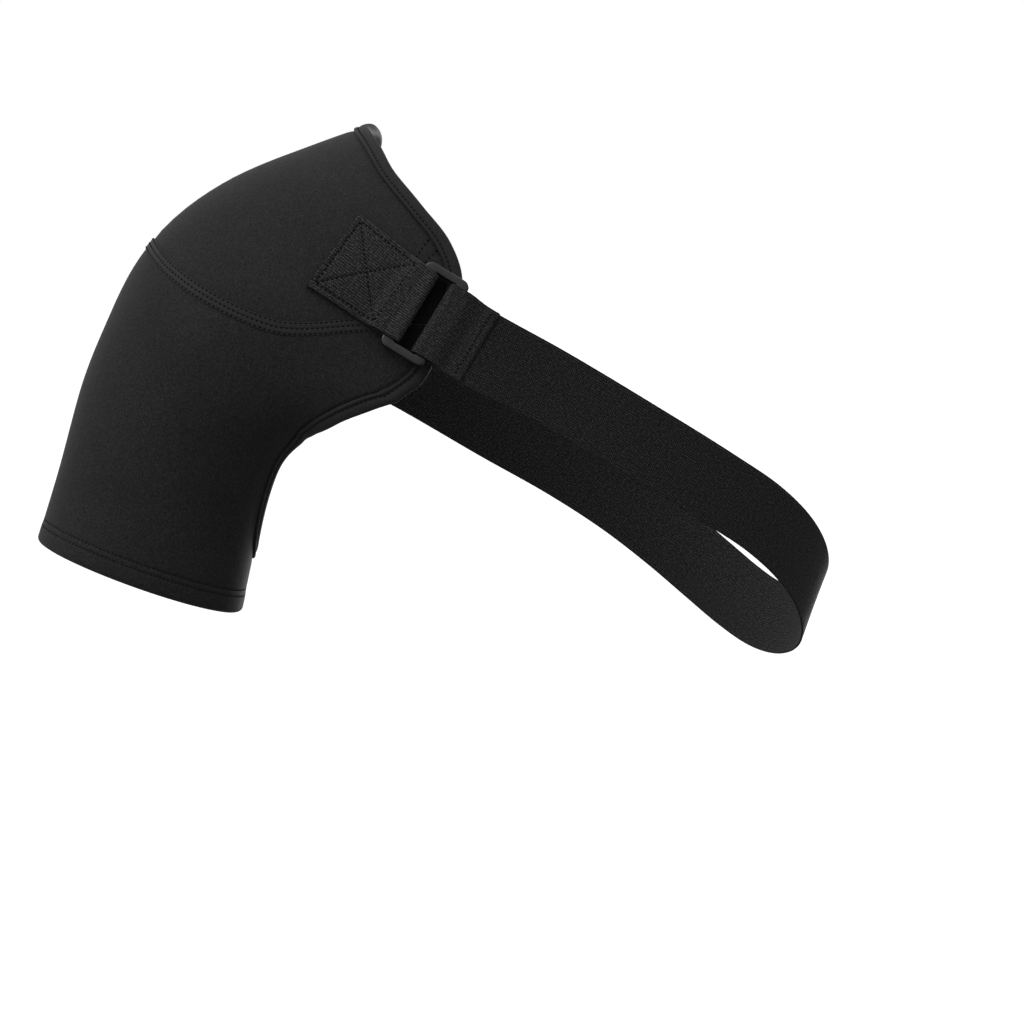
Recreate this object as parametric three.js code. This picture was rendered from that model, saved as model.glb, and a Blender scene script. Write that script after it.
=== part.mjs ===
// Shoulder pad for sport: a foam sleeve and yoke worn over the right shoulder, held by a chest strap.
//
// Frame, in millimetres: the origin is on top of the shoulder, where the yoke rests on it.
// +X points across the body to the other shoulder, -Y to the front and +Z up.
import * as THREE from "three";

// Driving dimensions

const FOAM = 4; // thickness of the foam panels
const SEAT_GAP = 0.4; // space between a piece and what it is sewn to

const PAD_COLUMNS = 82; // facets round the sleeve, the yoke and the binding
const SLEEVE_ROWS = 5; // rows of facets between the hem and the seam
const YOKE_ROWS = 4; // rows of facets between the seam and the binding

const BINDING_WIDTH = 7.8; // how far the edge binding reaches over the panels
const BINDING_TAPE = 1.1; // thickness of the binding tape
const BINDING_GAP = 0.7; // its space to the panels, which bend sharply under it at the armpit

const SEAM_WIDTH = 8; // width of the tape over the yoke seam
const SEAM_TAPE = 1.2; // thickness of that tape
const SEAM_SPLIT = 0.4; // space between the two panels under the tape
const SEAM_TRIM = 0.03; // rows of facets this close to the seam, as a share of the column
const SEAM_SIDESTEP = 0.03; // the same space where the seam runs up a column, in columns
const SEAM_STEP = 9; // spacing of the tape's facets
const SEAM_CLIMB = 0.03; // share of the column that the tape climbs there for each column that it has crossed

const BUCKLE_LENGTH = 30.5; // along the strap
const BUCKLE_BAR = 8; // width of each bar that webbing folds round
const BUCKLE_RAIL = 5; // width of each end rail
const BUCKLE_SLOT = 51; // clear width between the end rails
const BUCKLE_THICKNESS = 4.4;
const BUCKLE_CORNER = 5; // outside corner radius
const BUCKLE_BEVEL = 1.2; // rounding of its edges
const BUCKLE_SLOT_CORNER = 1.8; // corner radius of the slot at the foot of that rounding
const BUCKLE_AT = { angle: 71.6, station: 7.01 }; // place of its middle on the front lobe

const BAR_OFFSET = (BUCKLE_LENGTH - BUCKLE_BAR) / 2; // from the buckle's middle to each bar's
const BAR_GAP = 0.3; // space between a bar and the webbing round it
const FOLD_INSET = 1.2; // centre of the webbing's fold, in from the bar's edge in the slot
const FOLD_STEPS = 6; // facets round a fold
const FOLD_DROP = 14; // over this length past the bar the upper layer comes down on the lower one

const TAB_WIDTH = 49.5; // webbing tab that holds the buckle, in the buckle's slot
const TAB_END_WIDTH = 57; // its width at the sewn end
const TAB_THICKNESS = 1.6;
const TAB_SEWN = 59; // from the fold round the buckle bar to its sewn end
const TAB_TURN = 5; // degrees that it is turned to the buckle
const TAB_BEND = 12; // from the fold to where it has that turn
const TAB_STEPS = 7; // facets along each of its layers
const WEBBING_CELLS = 4; // facets across the tab and the strap

const STRAP_WIDTH = 49; // elastic chest strap
const STRAP_END_WIDTH = 50; // its width at the buckle
const STRAP_NARROWS = { from: 30, to: 110 }; // stretch past the buckle over which it loses that extra width
const STRAP_THICKNESS = 1.8;
const STRAP_SLOPE = 35; // degrees that it falls at the buckle
const STRAP_LAP = 31; // free end folded back over the strap
const LAP_STEPS = 4; // facets along the free end; the rest of the strap has facets of the same length
const STRAP_STRAIGHT = 30; // stretch past the buckle that stays flat
const STRAP_FALL = 0.555; // how far it falls on the chest for each millimetre across the body
const STRAP_DIP = { turn: -5, span: 70, depth: 40 }; // how it sinks lower as it goes round the far side
const CHEST_KNOTS = { first: 96, step: 12 }; // turns round the chest that its curve goes through
const STRAP_TWIST = { from: 40, span: 62 }; // turn round the chest over which it tilts as the lobes do
const STRAP_SEWN = 56; // length sewn down on the back lobe
const SEWN_KNOTS = 3; // places on that length that its curve goes through
const BACK_AT = { angle: -BUCKLE_AT.angle, station: BUCKLE_AT.station }; // a place on that sewn end
const BACK_RIM = 22; // from that place to the back lobe's bound edge
const BACK_OVERLAP = 14; // stretch to each side of the binding where the strap stays clear of it

// Sections of the shoulder from the sleeve's hem up the arm and across to the neck.
// x, y, z: centre of the section; lean: angle of its outward axis above the horizontal;
// pitch: how far its front axis dips; out, inner, front, back: reach of its inside face from the centre.
const SECTIONS = [
  { name: "hem", x: -46, y: 24, z: -241, lean: 19, pitch: 9, out: 64.5, inner: 63, front: 56, back: 53 },
  { name: "lower arm", x: -35, y: 18, z: -194, lean: 17, pitch: 11, out: 62, inner: 61, front: 56, back: 53 },
  { name: "armpit", x: -20, y: 10, z: -148, lean: 20, pitch: 8, out: 66, inner: 60, front: 60, back: 57 },
  { name: "upper arm", x: -2, y: 4, z: -122, lean: 36, pitch: 4, out: 76, inner: 62, front: 70, back: 66 },
  { name: "deltoid", x: 18, y: 2, z: -114, lean: 56, pitch: 2, out: 98, inner: 60, front: 78, back: 77 },
  { name: "acromion", x: 38, y: 0, z: -116, lean: 75, pitch: 0, out: 122, inner: 62, front: 87, back: 87 },
  { name: "collar bone", x: 62, y: 0, z: -122, lean: 88, pitch: 0, out: 145, inner: 64, front: 96, back: 95 },
  { name: "neck", x: 88, y: 0, z: -130, lean: 96, pitch: 0, out: 170, inner: 66, front: 104, back: 102 },
  { name: "chest", x: 116, y: 0, z: -136, lean: 100, pitch: 0, out: 188, inner: 68, front: 110, back: 107 },
];

// Outline of the bound edge, once round from the top of the shoulder over the front.
// angle: degrees round the section, 90 at the front; station: row of SECTIONS, with fractions.
const EDGE = [
  { name: "top", angle: 0, station: 6.87 },
  { name: "collar, upper", angle: 10, station: 6.75 },
  { name: "collar", angle: 22, station: 6.72 },
  { name: "collar, front", angle: 34, station: 6.77 },
  { name: "front lobe, upper", angle: 46, station: 7.06 },
  { name: "front lobe, above the buckle", angle: 56, station: 7.47 },
  { name: "front lobe, end", angle: 64, station: 7.67 },
  { name: "front lobe, below the buckle", angle: 72, station: 7.58 },
  { name: "front lobe, lower", angle: 79, station: 7.28 },
  { name: "front lobe, corner", angle: 85, station: 7.02 },
  { name: "front lobe, underside", angle: 89, station: 6.63 },
  { name: "chest", angle: 96.5, station: 6.08 },
  { name: "chest, lower", angle: 108, station: 5.31 },
  { name: "front of armpit", angle: 122, station: 4.38 },
  { name: "armpit, front", angle: 134.5, station: 3.12 },
  { name: "inside of arm, upper", angle: 141, station: 1.92 },
  { name: "inside of arm", angle: 147, station: 1.24 },
  { name: "inside of arm, lower", angle: 159, station: 0.86 },
  { name: "underarm", angle: 180, station: 0.8 },
  { name: "inside of arm, lower back", angle: 201, station: 1 },
  { name: "inside of arm, back", angle: 213, station: 1.5 },
  { name: "inside of arm, upper back", angle: 223, station: 2.1 },
  { name: "armpit, back", angle: 233, station: 2.85 },
  { name: "back of armpit", angle: 243, station: 3.75 },
  { name: "shoulder blade, inside", angle: 252, station: 4.7 },
  { name: "shoulder blade", angle: 262, station: 5.8 },
  { name: "back lobe, underside", angle: 270.5, station: 6.56 },
  { name: "back lobe, corner", angle: 275.5, station: 7 },
  { name: "back lobe, lower", angle: 281, station: 7.37 },
  { name: "back lobe, below the strap", angle: 288, station: 7.58 },
  { name: "back lobe, end", angle: 296, station: 7.67 },
  { name: "back lobe, above the strap", angle: 306, station: 7.64 },
  { name: "back lobe, upper", angle: 318, station: 7.58 },
  { name: "back collar", angle: 330, station: 7.55 },
  { name: "back collar, upper", angle: 340, station: 7.42 },
  { name: "top, back", angle: 350, station: 7.15 },
];

// Yoke seam from where it turns up behind, over the outside of the shoulder, to where it turns up in front.
const SEAM = [
  { name: "back wing", angle: -74.3, station: 5.4 },
  { name: "back wing, lower", angle: -73.8, station: 5.05 },
  { name: "turn up, back", angle: -72.8, station: 4.76 },
  { name: "turn, back", angle: -70.4, station: 4.48 },
  { name: "bend, back", angle: -66, station: 4.27 },
  { name: "back of arm", angle: -60, station: 4.14 },
  { name: "back of arm, outer", angle: -45, station: 4.05 },
  { name: "outside, back", angle: -30, station: 4.05 },
  { name: "outside", angle: -13, station: 3.985 },
  { name: "outside, front", angle: 4, station: 3.86 },
  { name: "arm", angle: 21, station: 3.76 },
  { name: "dip", angle: 36, station: 3.75 },
  { name: "dip, front", angle: 46, station: 3.8 },
  { name: "front of arm", angle: 54, station: 3.885 },
  { name: "front of arm, inner", angle: 61, station: 4.02 },
  { name: "bend", angle: 67, station: 4.21 },
  { name: "turn", angle: 71, station: 4.44 },
  { name: "turn up", angle: 73.3, station: 4.74 },
  { name: "front wing, lower", angle: 74.3, station: 5.05 },
  { name: "front wing", angle: 74.8, station: 5.4 },
];
const SEAM_COLUMN = 18; // the column that the seam then follows up to the end of each lobe

// Turned-up hem of the sleeve. up: distance from its edge; outside, inside: change of each face's height.
const HEM = [
  { name: "edge", up: 0, outside: -1.1, inside: -0.9 },
  { name: "fold", up: 3, outside: 0, inside: -2 },
  { name: "below stitches", up: 10, outside: 0, inside: -2 },
  { name: "stitches", up: 12.5, outside: -0.7, inside: -2 },
  { name: "end of the fold", up: 16, outside: 0, inside: 0 },
];

// The chest that the strap goes round, as an oval that narrows towards the waist: halfWidth is at height z.
const CHEST = { x: 207, y: -4, z: -255, halfWidth: 214, halfDepth: 113, taper: 0.45, fullness: 2.2 };

// Interpolation

// Smooth curve through the rows of a table: t counts rows, and the table may close on itself.
function along(rows, column, t, closed = false, period = 0) {
  const last = rows.length - 1;
  const value = (k) => {
    if (closed) {
      const laps = Math.floor(k / rows.length);
      return rows[k - laps * rows.length][column] + laps * period;
    }
    if (k < 0) return 2 * rows[0][column] - rows[1][column];
    if (k > last) return 2 * rows[last][column] - rows[last - 1][column];
    return rows[k][column];
  };
  const k = closed ? Math.floor(t) : Math.min(Math.max(Math.floor(t), 0), last - 1);
  const u = t - k;
  const [a, b, c, d] = [value(k - 1), value(k), value(k + 1), value(k + 2)];
  const bend = 2 * a - 5 * b + 4 * c - d;
  return b + 0.5 * u * (c - a + u * (bend + u * (3 * (b - c) + d - a)));
}

const lerp = THREE.MathUtils.lerp;
const radians = THREE.MathUtils.degToRad;
const ease = (u) => THREE.MathUtils.smoothstep(u, 0, 1);
const vector = (x, y, z) => new THREE.Vector3(x, y, z);

// The shoulder: the inside face of the pad, as a function of the angle round it and the station along it

function shoulder(angle, station) {
  const row = (column) => along(SECTIONS, column, station);
  const lean = radians(row("lean"));
  const pitch = radians(row("pitch"));
  const cos = Math.cos(radians(angle));
  const sin = Math.sin(radians(angle));
  const outward = cos * row(cos > 0 ? "out" : "inner");
  const forward = sin * row(sin > 0 ? "front" : "back");
  return vector(
    row("x") - outward * Math.cos(lean),
    row("y") - forward * Math.cos(pitch),
    row("z") + outward * Math.sin(lean) - forward * Math.sin(pitch),
  );
}

function shoulderNormal(angle, station) {
  const round = shoulder(angle + 0.5, station).sub(shoulder(angle - 0.5, station));
  const up = shoulder(angle, station + 0.02).sub(shoulder(angle, station - 0.02));
  return round.cross(up).normalize();
}

// Angle and station of the shoulder's point on the line through target along a direction.
function under(target, direction, guess) {
  let { angle, station } = guess;
  for (let k = 0; k < 12; k++) {
    const round = shoulder(angle + 0.5, station).sub(shoulder(angle - 0.5, station));
    const up = shoulder(angle, station + 0.02).sub(shoulder(angle, station - 0.02)).multiplyScalar(25);
    const miss = target.clone().sub(shoulder(angle, station));
    const whole = round.clone().cross(up).dot(direction);
    angle += miss.clone().cross(up).dot(direction) / whole;
    station += round.cross(miss).dot(direction) / whole;
  }
  return { angle, station };
}

// A point above the shoulder: height 0 is the pad's inside face and FOAM its outside.
function above({ angle, station }, height) {
  return shoulder(angle, station).addScaledVector(shoulderNormal(angle, station), height);
}

// Closed solids

// A sheet with thickness. point(column, row, layer) gives its two faces, layer 0 and 1.
// has(column, row) tells which cells of the grid belong to it.
function sheet(columns, rows, point, { closed = false, has = () => true } = {}) {
  const position = [];
  const index = [];
  const made = new Map();
  const wrap = (i) => (closed ? (i + columns) % columns : i);
  const spot = (i, j, layer) => {
    const key = (wrap(i) * rows + j) * 2 + layer;
    if (!made.has(key)) {
      made.set(key, position.length / 3);
      position.push(...point(wrap(i), j, layer).toArray());
    }
    return made.get(key);
  };
  const place = (k) => vector().fromArray(position, 3 * k);
  const quad = (a, b, c, d) => {
    const short = place(a).distanceTo(place(c)) <= place(b).distanceTo(place(d));
    index.push(...(short ? [a, b, c, a, c, d] : [a, b, d, b, c, d]));
  };
  const spans = closed ? columns : columns - 1;
  const filled = (i, j) => (closed || (i >= 0 && i < spans)) && j >= 0 && j < rows - 1 && has(wrap(i), j);
  const wall = (i, j, k, l) => quad(spot(i, j, 1), spot(i, j, 0), spot(k, l, 0), spot(k, l, 1));
  for (let i = 0; i < spans; i++) {
    for (let j = 0; j < rows - 1; j++) {
      if (!filled(i, j)) continue;
      quad(spot(i, j, 1), spot(i + 1, j, 1), spot(i + 1, j + 1, 1), spot(i, j + 1, 1));
      quad(spot(i, j, 0), spot(i, j + 1, 0), spot(i + 1, j + 1, 0), spot(i + 1, j, 0));
      if (!filled(i, j - 1)) wall(i, j, i + 1, j);
      if (!filled(i + 1, j)) wall(i + 1, j, i + 1, j + 1);
      if (!filled(i, j + 1)) wall(i + 1, j + 1, i, j + 1);
      if (!filled(i - 1, j)) wall(i, j + 1, i, j);
    }
  }
  const geometry = new THREE.BufferGeometry();
  geometry.setAttribute("position", new THREE.Float32BufferAttribute(position, 3));
  geometry.setIndex(index);
  return facingOut(geometry);
}

// Turns a closed mesh's faces round if they point inwards.
function facingOut(geometry) {
  const at = geometry.attributes.position;
  const index = geometry.index.array;
  const [a, b, c] = [vector(), vector(), vector()];
  let volume = 0;
  for (let k = 0; k < index.length; k += 3) {
    a.fromBufferAttribute(at, index[k]);
    b.fromBufferAttribute(at, index[k + 1]);
    c.fromBufferAttribute(at, index[k + 2]);
    volume += a.dot(b.cross(c)) / 6;
  }
  if (volume < 0) {
    for (let k = 0; k < index.length; k += 3) [index[k + 1], index[k + 2]] = [index[k + 2], index[k + 1]];
  }
  geometry.computeVertexNormals();
  return geometry;
}

// Columns of the pad: each runs from the hem to the bound edge

// Points along a path at equal steps. at(t) gives a place with a point, for t from 0 to 1.
function evenly(at, count, closed = false) {
  const fine = 600;
  const trace = [];
  for (let k = 0; k <= fine; k++) trace.push({ t: k / fine, point: at(k / fine), length: 0 });
  for (let k = 1; k <= fine; k++) {
    trace[k].length = trace[k - 1].length + trace[k].point.distanceTo(trace[k - 1].point);
  }
  const total = trace[fine].length;
  const steps = [];
  let k = 0;
  for (let i = 0; i < count; i++) {
    const wanted = (total * i) / (closed ? count : count - 1);
    while (k < fine - 1 && trace[k + 1].length < wanted) k++;
    const span = trace[k + 1].length - trace[k].length;
    steps.push(trace[k].t + (wanted - trace[k].length) / span / fine);
  }
  return { steps, total };
}

const edgeAngle = (t) => along(EDGE, "angle", t * EDGE.length, true, 360);
const edgeStation = (t) => along(EDGE, "station", t * EDGE.length, true);
const edgePoint = (t) => shoulder(edgeAngle(t), edgeStation(t));

// Each column's place on the bound edge, the way out across the edge there, and its foot:
// the place on the inner line of the binding.
function edgeColumn(t) {
  const rim = { angle: edgeAngle(t), station: edgeStation(t) };
  const side = edgePoint(t + 0.002).sub(edgePoint(t - 0.002)).normalize();
  const normal = shoulderNormal(rim.angle, rim.station);
  const beyond = normal.clone().cross(side);
  const foot = under(edgePoint(t).addScaledVector(beyond, -BINDING_WIDTH), normal, rim);
  return { rim, side, beyond, foot };
}

const EDGE_COLUMNS = evenly(edgePoint, PAD_COLUMNS, true).steps.map(edgeColumn);

// Angle and station at a share of the way up a column from the hem to its foot. Columns count from the
// top of the shoulder towards the front, a fraction lies between two, and a negative one is at the back.
function onColumn(column, share) {
  const laps = Math.floor(column / PAD_COLUMNS);
  const place = column - laps * PAD_COLUMNS;
  const i = Math.floor(place);
  const here = EDGE_COLUMNS[i].foot;
  const next = EDGE_COLUMNS[(i + 1) % PAD_COLUMNS].foot;
  const nextAngle = next.angle + (i + 1 === PAD_COLUMNS ? 360 : 0);
  const hemAngle = (360 * place) / PAD_COLUMNS;
  const angle = lerp(hemAngle, lerp(here.angle, nextAngle, place - i), ease(share));
  return { angle: angle + 360 * laps, station: lerp(here.station, next.station, place - i) * share };
}

function columnNormal(column, share) {
  const { angle, station } = onColumn(column, share);
  return shoulderNormal(angle, station);
}

function columnPoint(column, share, height = 0) {
  return above(onColumn(column, share), height);
}

// Where a function that is negative at low turns positive on the way to high.
function bisect(f, low, high) {
  for (let k = 0; k < 40; k++) {
    const middle = (low + high) / 2;
    if (f(middle) < 0) low = middle;
    else high = middle;
  }
  return (low + high) / 2;
}

// Share of a column at a distance from a curve that crosses it, measured square to the curve.
// curve(column) is the share where it crosses; limit is how far to look.
function shareBeside(curve, column, distance, limit) {
  const from = columnPoint(column, curve(column));
  const ahead = columnPoint(column + 0.5, curve(column + 0.5));
  const behind = columnPoint(column - 0.5, curve(column - 0.5));
  const side = ahead.sub(behind).normalize();
  const reach = (share) => columnPoint(column, share).sub(from).cross(side).length();
  return bisect((share) => reach(share) - distance, curve(column), limit);
}

const hemShare = (column, distance) => shareBeside(() => 0, column, distance, 0.9);

// The seam's share of a column. Past SEAM_COLUMN it stays level, and only divides the wing's facets.
function seamShare(column) {
  const turned = column - PAD_COLUMNS * Math.round(column / PAD_COLUMNS);
  const crossed = THREE.MathUtils.clamp(turned, -SEAM_COLUMN, SEAM_COLUMN);
  const beyond = (share) => {
    const { angle, station } = onColumn(crossed, share);
    const t = bisect((u) => along(SEAM, "angle", u) - angle, 0, SEAM.length - 1);
    return station - along(SEAM, "station", t);
  };
  return bisect(beyond, 0, 1);
}

// A column's number counted from the top of the shoulder, negative at the back.
const signed = (i) => (i > PAD_COLUMNS / 2 ? i - PAD_COLUMNS : i);

// Rows of a column from the hem to the binding's inner line; one more is on the bound edge itself.
const SEAM_ROW = HEM.length + SLEEVE_ROWS;

function rowsOf(column) {
  const rows = HEM.map(({ up, inside, outside }) => ({ share: hemShare(column, up), inside, outside }));
  const plain = (share) => rows.push({ share, inside: 0, outside: 0 });
  const hemTop = rows[rows.length - 1].share;
  const seam = seamShare(column);
  const below = seam - Math.min(SEAM_TRIM, (seam - hemTop) / SLEEVE_ROWS);
  const above = seam + Math.min(SEAM_TRIM, (1 - seam) / YOKE_ROWS);
  for (let k = 1; k <= SLEEVE_ROWS; k++) plain(lerp(hemTop, below, k / SLEEVE_ROWS));
  plain(seam);
  for (let k = 0; k <= YOKE_ROWS; k++) plain(lerp(above, 1, k / YOKE_ROWS));
  return rows;
}

const PAD_ROWS = Array.from({ length: PAD_COLUMNS }, (_, i) => rowsOf(signed(i)));
const EDGE_ROW = PAD_ROWS[0].length;

// A panel made of the cells that has() picks. Along the seam it stops short by half of the split:
// side is -1 below the seam and 1 above it.
function panel(has, side) {
  const point = (i, j, layer) => {
    let column = signed(i);
    const turned = Math.abs(column);
    const aside = turned === SEAM_COLUMN ? -Math.sign(column) * side : 0;
    if (j === EDGE_ROW) {
      const { rim, side: ahead } = EDGE_COLUMNS[i];
      return above(rim, layer * FOAM).addScaledVector(ahead, (aside * SEAM_SPLIT) / 2);
    }
    const row = PAD_ROWS[i][j];
    let share = row.share;
    if (j === SEAM_ROW && turned <= SEAM_COLUMN) {
      share = shareBeside(seamShare, column, SEAM_SPLIT / 2, side > 0 ? 1 : 0);
    }
    if (j >= SEAM_ROW) column += aside * SEAM_SIDESTEP;
    return columnPoint(column, share, layer ? FOAM + row.outside : row.inside);
  };
  return sheet(PAD_COLUMNS, EDGE_ROW + 1, point, { closed: true, has });
}

// Pieces

const inYoke = (i, j) => j >= SEAM_ROW && (i < SEAM_COLUMN || i >= PAD_COLUMNS - SEAM_COLUMN);
const sleevePanel = () => panel((i, j) => !inYoke(i, j), -1);
const yokePanel = () => panel(inYoke, 1);

// The way that the strap falls on a plane with this normal.
function strapRun(normal) {
  const fall = radians(STRAP_SLOPE);
  return vector(Math.cos(fall), 0, -Math.sin(fall)).projectOnPlane(normal).normalize();
}

// The buckle's own axes: along the strap, across it and away from the body.
function buckleFrame() {
  const { angle, station } = BUCKLE_AT;
  const normal = shoulderNormal(angle, station);
  const run = strapRun(normal);
  const spot = (distance, height) => {
    const target = shoulder(angle, station).addScaledVector(run, distance);
    return above(under(target, normal, BUCKLE_AT), FOAM + height);
  };
  const tabBar = spot(-BAR_OFFSET, SEAT_GAP + TAB_THICKNESS + BAR_GAP + BUCKLE_THICKNESS / 2);
  const overBinding = BINDING_GAP + BINDING_TAPE + SEAT_GAP + STRAP_THICKNESS;
  const strapBar = spot(BAR_OFFSET, overBinding + BAR_GAP + BUCKLE_THICKNESS / 2);
  const along = strapBar.clone().sub(tabBar).normalize();
  const away = normal.projectOnPlane(along).normalize();
  return { middle: strapBar.add(tabBar).multiplyScalar(0.5), along, across: away.clone().cross(along), away };
}

const FRAME = buckleFrame();

// Tape over the seam. It crosses the columns, turns up the last one as the seam does, and ends with a slant
// at the edge of the tab in front and of the strap's sewn end at the back.
function seamTape() {
  const at = (reach) => {
    const column = THREE.MathUtils.clamp(reach, -SEAM_COLUMN, SEAM_COLUMN);
    return { column, share: seamShare(column) + SEAM_CLIMB * Math.abs(reach - column) };
  };
  const place = (reach, height = FOAM) => columnPoint(at(reach).column, at(reach).share, height);
  const upTo = (side, { point, into }) =>
    side * bisect((reach) => place(side * reach).sub(point).dot(into), SEAM_COLUMN, 2 * SEAM_COLUMN);
  const [front, behind] = [tabEdge(), sewnEdge()];
  const [first, last] = [upTo(-1, behind), upTo(1, front)];
  const trace = (t) => place(lerp(first, last, t));
  const count = Math.round(evenly(trace, 2).total / SEAM_STEP) + 1;
  const path = evenly(trace, count).steps.map((t) => {
    const reach = lerp(first, last, t);
    const normal = columnNormal(at(reach).column, at(reach).share);
    return { centre: place(reach, FOAM + SEAT_GAP + SEAM_TAPE / 2), normal };
  });
  path[0].cut = behind.slant;
  path[count - 1].cut = front.slant;
  return ribbon(path, SEAM_WIDTH, SEAM_TAPE, 2);
}

// The lower edge of the tab: a point just outside it, its direction and the way from there into the tab.
function tabEdge() {
  const { centre } = foldRoundBar(-1, TAB_THICKNESS);
  const [near, far] = [TAB_BEND, TAB_SEWN].map((reach) => {
    const { run, side } = turnedTab(centre - reach, -tabHalf(centre - reach));
    return atBuckle(run, side, 0);
  });
  const slant = near.clone().sub(far).normalize();
  const into = FRAME.away.clone().cross(slant);
  return { point: near.addScaledVector(into, -SEAT_GAP), slant, into };
}

// The same for the strap's sewn end at the back.
function sewnEdge() {
  const normal = shoulderNormal(BACK_AT.angle, BACK_AT.station);
  const slant = strapRun(normal);
  const into = slant.clone().cross(normal);
  return { point: above(BACK_AT, FOAM).addScaledVector(into, -STRAP_WIDTH / 2 - SEAT_GAP), slant, into };
}

// A band along a path of centres and normals. A step may have a width of its own or the direction of a slanted
// cut through it, and where it is sewn the band follows the pad across its width.
function ribbon(path, width, thickness, cells) {
  const last = path.length - 1;
  const across = path.map(({ normal, cut }, i) => {
    const ahead = path[Math.min(i + 1, last)].centre.clone();
    const square = ahead.sub(path[Math.max(i - 1, 0)].centre).cross(normal).normalize();
    return cut ? cut.clone().projectOnPlane(normal).divideScalar(cut.dot(square)) : square;
  });
  const point = (i, j, layer) => {
    const { centre, normal, sewn = 0, wide = width } = path[i];
    const offset = wide * (j / cells - 0.5);
    const flat = centre.clone().addScaledVector(across[i], offset);
    if (sewn > 0) flat.addScaledVector(normal, sewn * (sag(centre, normal) - sag(flat, normal)));
    return flat.addScaledVector(normal, thickness * (layer - 0.5));
  };
  return sheet(path.length, cells + 1, point);
}

// Height of a point over the back of the pad, measured along a direction.
function sag(point, direction) {
  const place = under(point, direction, BACK_AT);
  return point.clone().sub(shoulder(place.angle, place.station)).dot(direction);
}

// Tape folded over the bound edge, sewn through both faces of the panels.
function edgeBinding() {
  const point = (i, j, layer) => {
    const { rim, foot, beyond } = EDGE_COLUMNS[i];
    const stand = BINDING_GAP + layer * BINDING_TAPE;
    const rows = [
      { place: foot, height: FOAM + stand, past: 0 },
      { place: rim, height: FOAM + stand, past: 0 },
      { place: rim, height: FOAM / 2, past: stand },
      { place: rim, height: -stand, past: 0 },
      { place: foot, height: -stand, past: 0 },
    ];
    const { place, height, past } = rows[j];
    return above(place, height).addScaledVector(beyond, past);
  };
  return sheet(PAD_COLUMNS, 5, point, { closed: true });
}

// A point in the buckle's axes.
function atBuckle(run, side, height) {
  const place = FRAME.middle.clone().addScaledVector(FRAME.along, run);
  return place.addScaledVector(FRAME.across, side).addScaledVector(FRAME.away, height);
}

function roundedRectangle(width, height, radius, kind = THREE.Shape) {
  const [x, y] = [width / 2, height / 2];
  const outline = new kind();
  outline.absarc(x - radius, y - radius, radius, 0, Math.PI / 2);
  outline.absarc(radius - x, y - radius, radius, Math.PI / 2, Math.PI);
  outline.absarc(radius - x, radius - y, radius, Math.PI, 1.5 * Math.PI);
  outline.absarc(x - radius, radius - y, radius, 1.5 * Math.PI, 2 * Math.PI);
  outline.closePath();
  return outline;
}

// Plain moulded loop: two bars for the webbing and two end rails.
function buckle() {
  const inset = 2 * BUCKLE_BEVEL;
  const outer = roundedRectangle(
    BUCKLE_LENGTH - inset,
    BUCKLE_SLOT + 2 * BUCKLE_RAIL - inset,
    BUCKLE_CORNER - BUCKLE_BEVEL,
  );
  const slot = roundedRectangle(
    BUCKLE_LENGTH - 2 * BUCKLE_BAR + inset,
    BUCKLE_SLOT + inset,
    BUCKLE_SLOT_CORNER,
    THREE.Path,
  );
  outer.holes.push(slot);
  const geometry = new THREE.ExtrudeGeometry(outer, {
    depth: BUCKLE_THICKNESS - inset,
    bevelSize: BUCKLE_BEVEL,
    bevelThickness: BUCKLE_BEVEL,
    bevelSegments: 2,
    curveSegments: 4,
  });
  geometry.translate(0, 0, BUCKLE_BEVEL - BUCKLE_THICKNESS / 2);
  const axes = new THREE.Matrix4().makeBasis(FRAME.along, FRAME.across, FRAME.away);
  return geometry.applyMatrix4(axes.setPosition(FRAME.middle));
}

// A band folded round a buckle bar, as places in a side view of the buckle: run along it and height over
// it. side is -1 for the tab's bar and 1 for the strap's. The band comes in under the bar, turns round it
// in the slot and goes back over it.
function foldRoundBar(side, thickness) {
  const radius = BUCKLE_THICKNESS / 2 + BAR_GAP + thickness / 2;
  const centre = side * (BAR_OFFSET - BUCKLE_BAR / 2 + FOLD_INSET);
  const fold = [];
  for (let k = 0; k <= FOLD_STEPS; k++) {
    const turn = Math.PI * (k / FOLD_STEPS - 0.5);
    fold.push({ run: centre - side * radius * Math.cos(turn), height: radius * Math.sin(turn) });
  }
  return { fold, centre, radius };
}

// Direction square to a side view's path at step i.
function sideNormal(path, i) {
  const ahead = path[Math.min(i + 1, path.length - 1)];
  const behind = path[Math.max(i - 1, 0)];
  const [run, height] = [ahead.run - behind.run, ahead.height - behind.height];
  const length = Math.hypot(run, height);
  return { run: -height / length, height: run / length };
}

// Half of the tab's width at a place along it: the slot holds it narrower than its sewn end.
function tabHalf(run) {
  const { centre } = foldRoundBar(-1, TAB_THICKNESS);
  return lerp(TAB_WIDTH, TAB_END_WIDTH, THREE.MathUtils.clamp((centre - run) / TAB_SEWN, 0, 1)) / 2;
}

// A place on the tab, which is sewn on at a slight turn to the buckle: turned about the middle of its fold.
function turnedTab(run, side) {
  const { centre } = foldRoundBar(-1, TAB_THICKNESS);
  const reach = Math.max(centre - run, 0);
  const turn = radians(TAB_TURN) * ease(reach / TAB_BEND);
  const [cos, sin] = [Math.cos(turn), Math.sin(turn)];
  return { run: run + reach * (1 - cos) + side * sin, side: side * cos + reach * sin };
}

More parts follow.
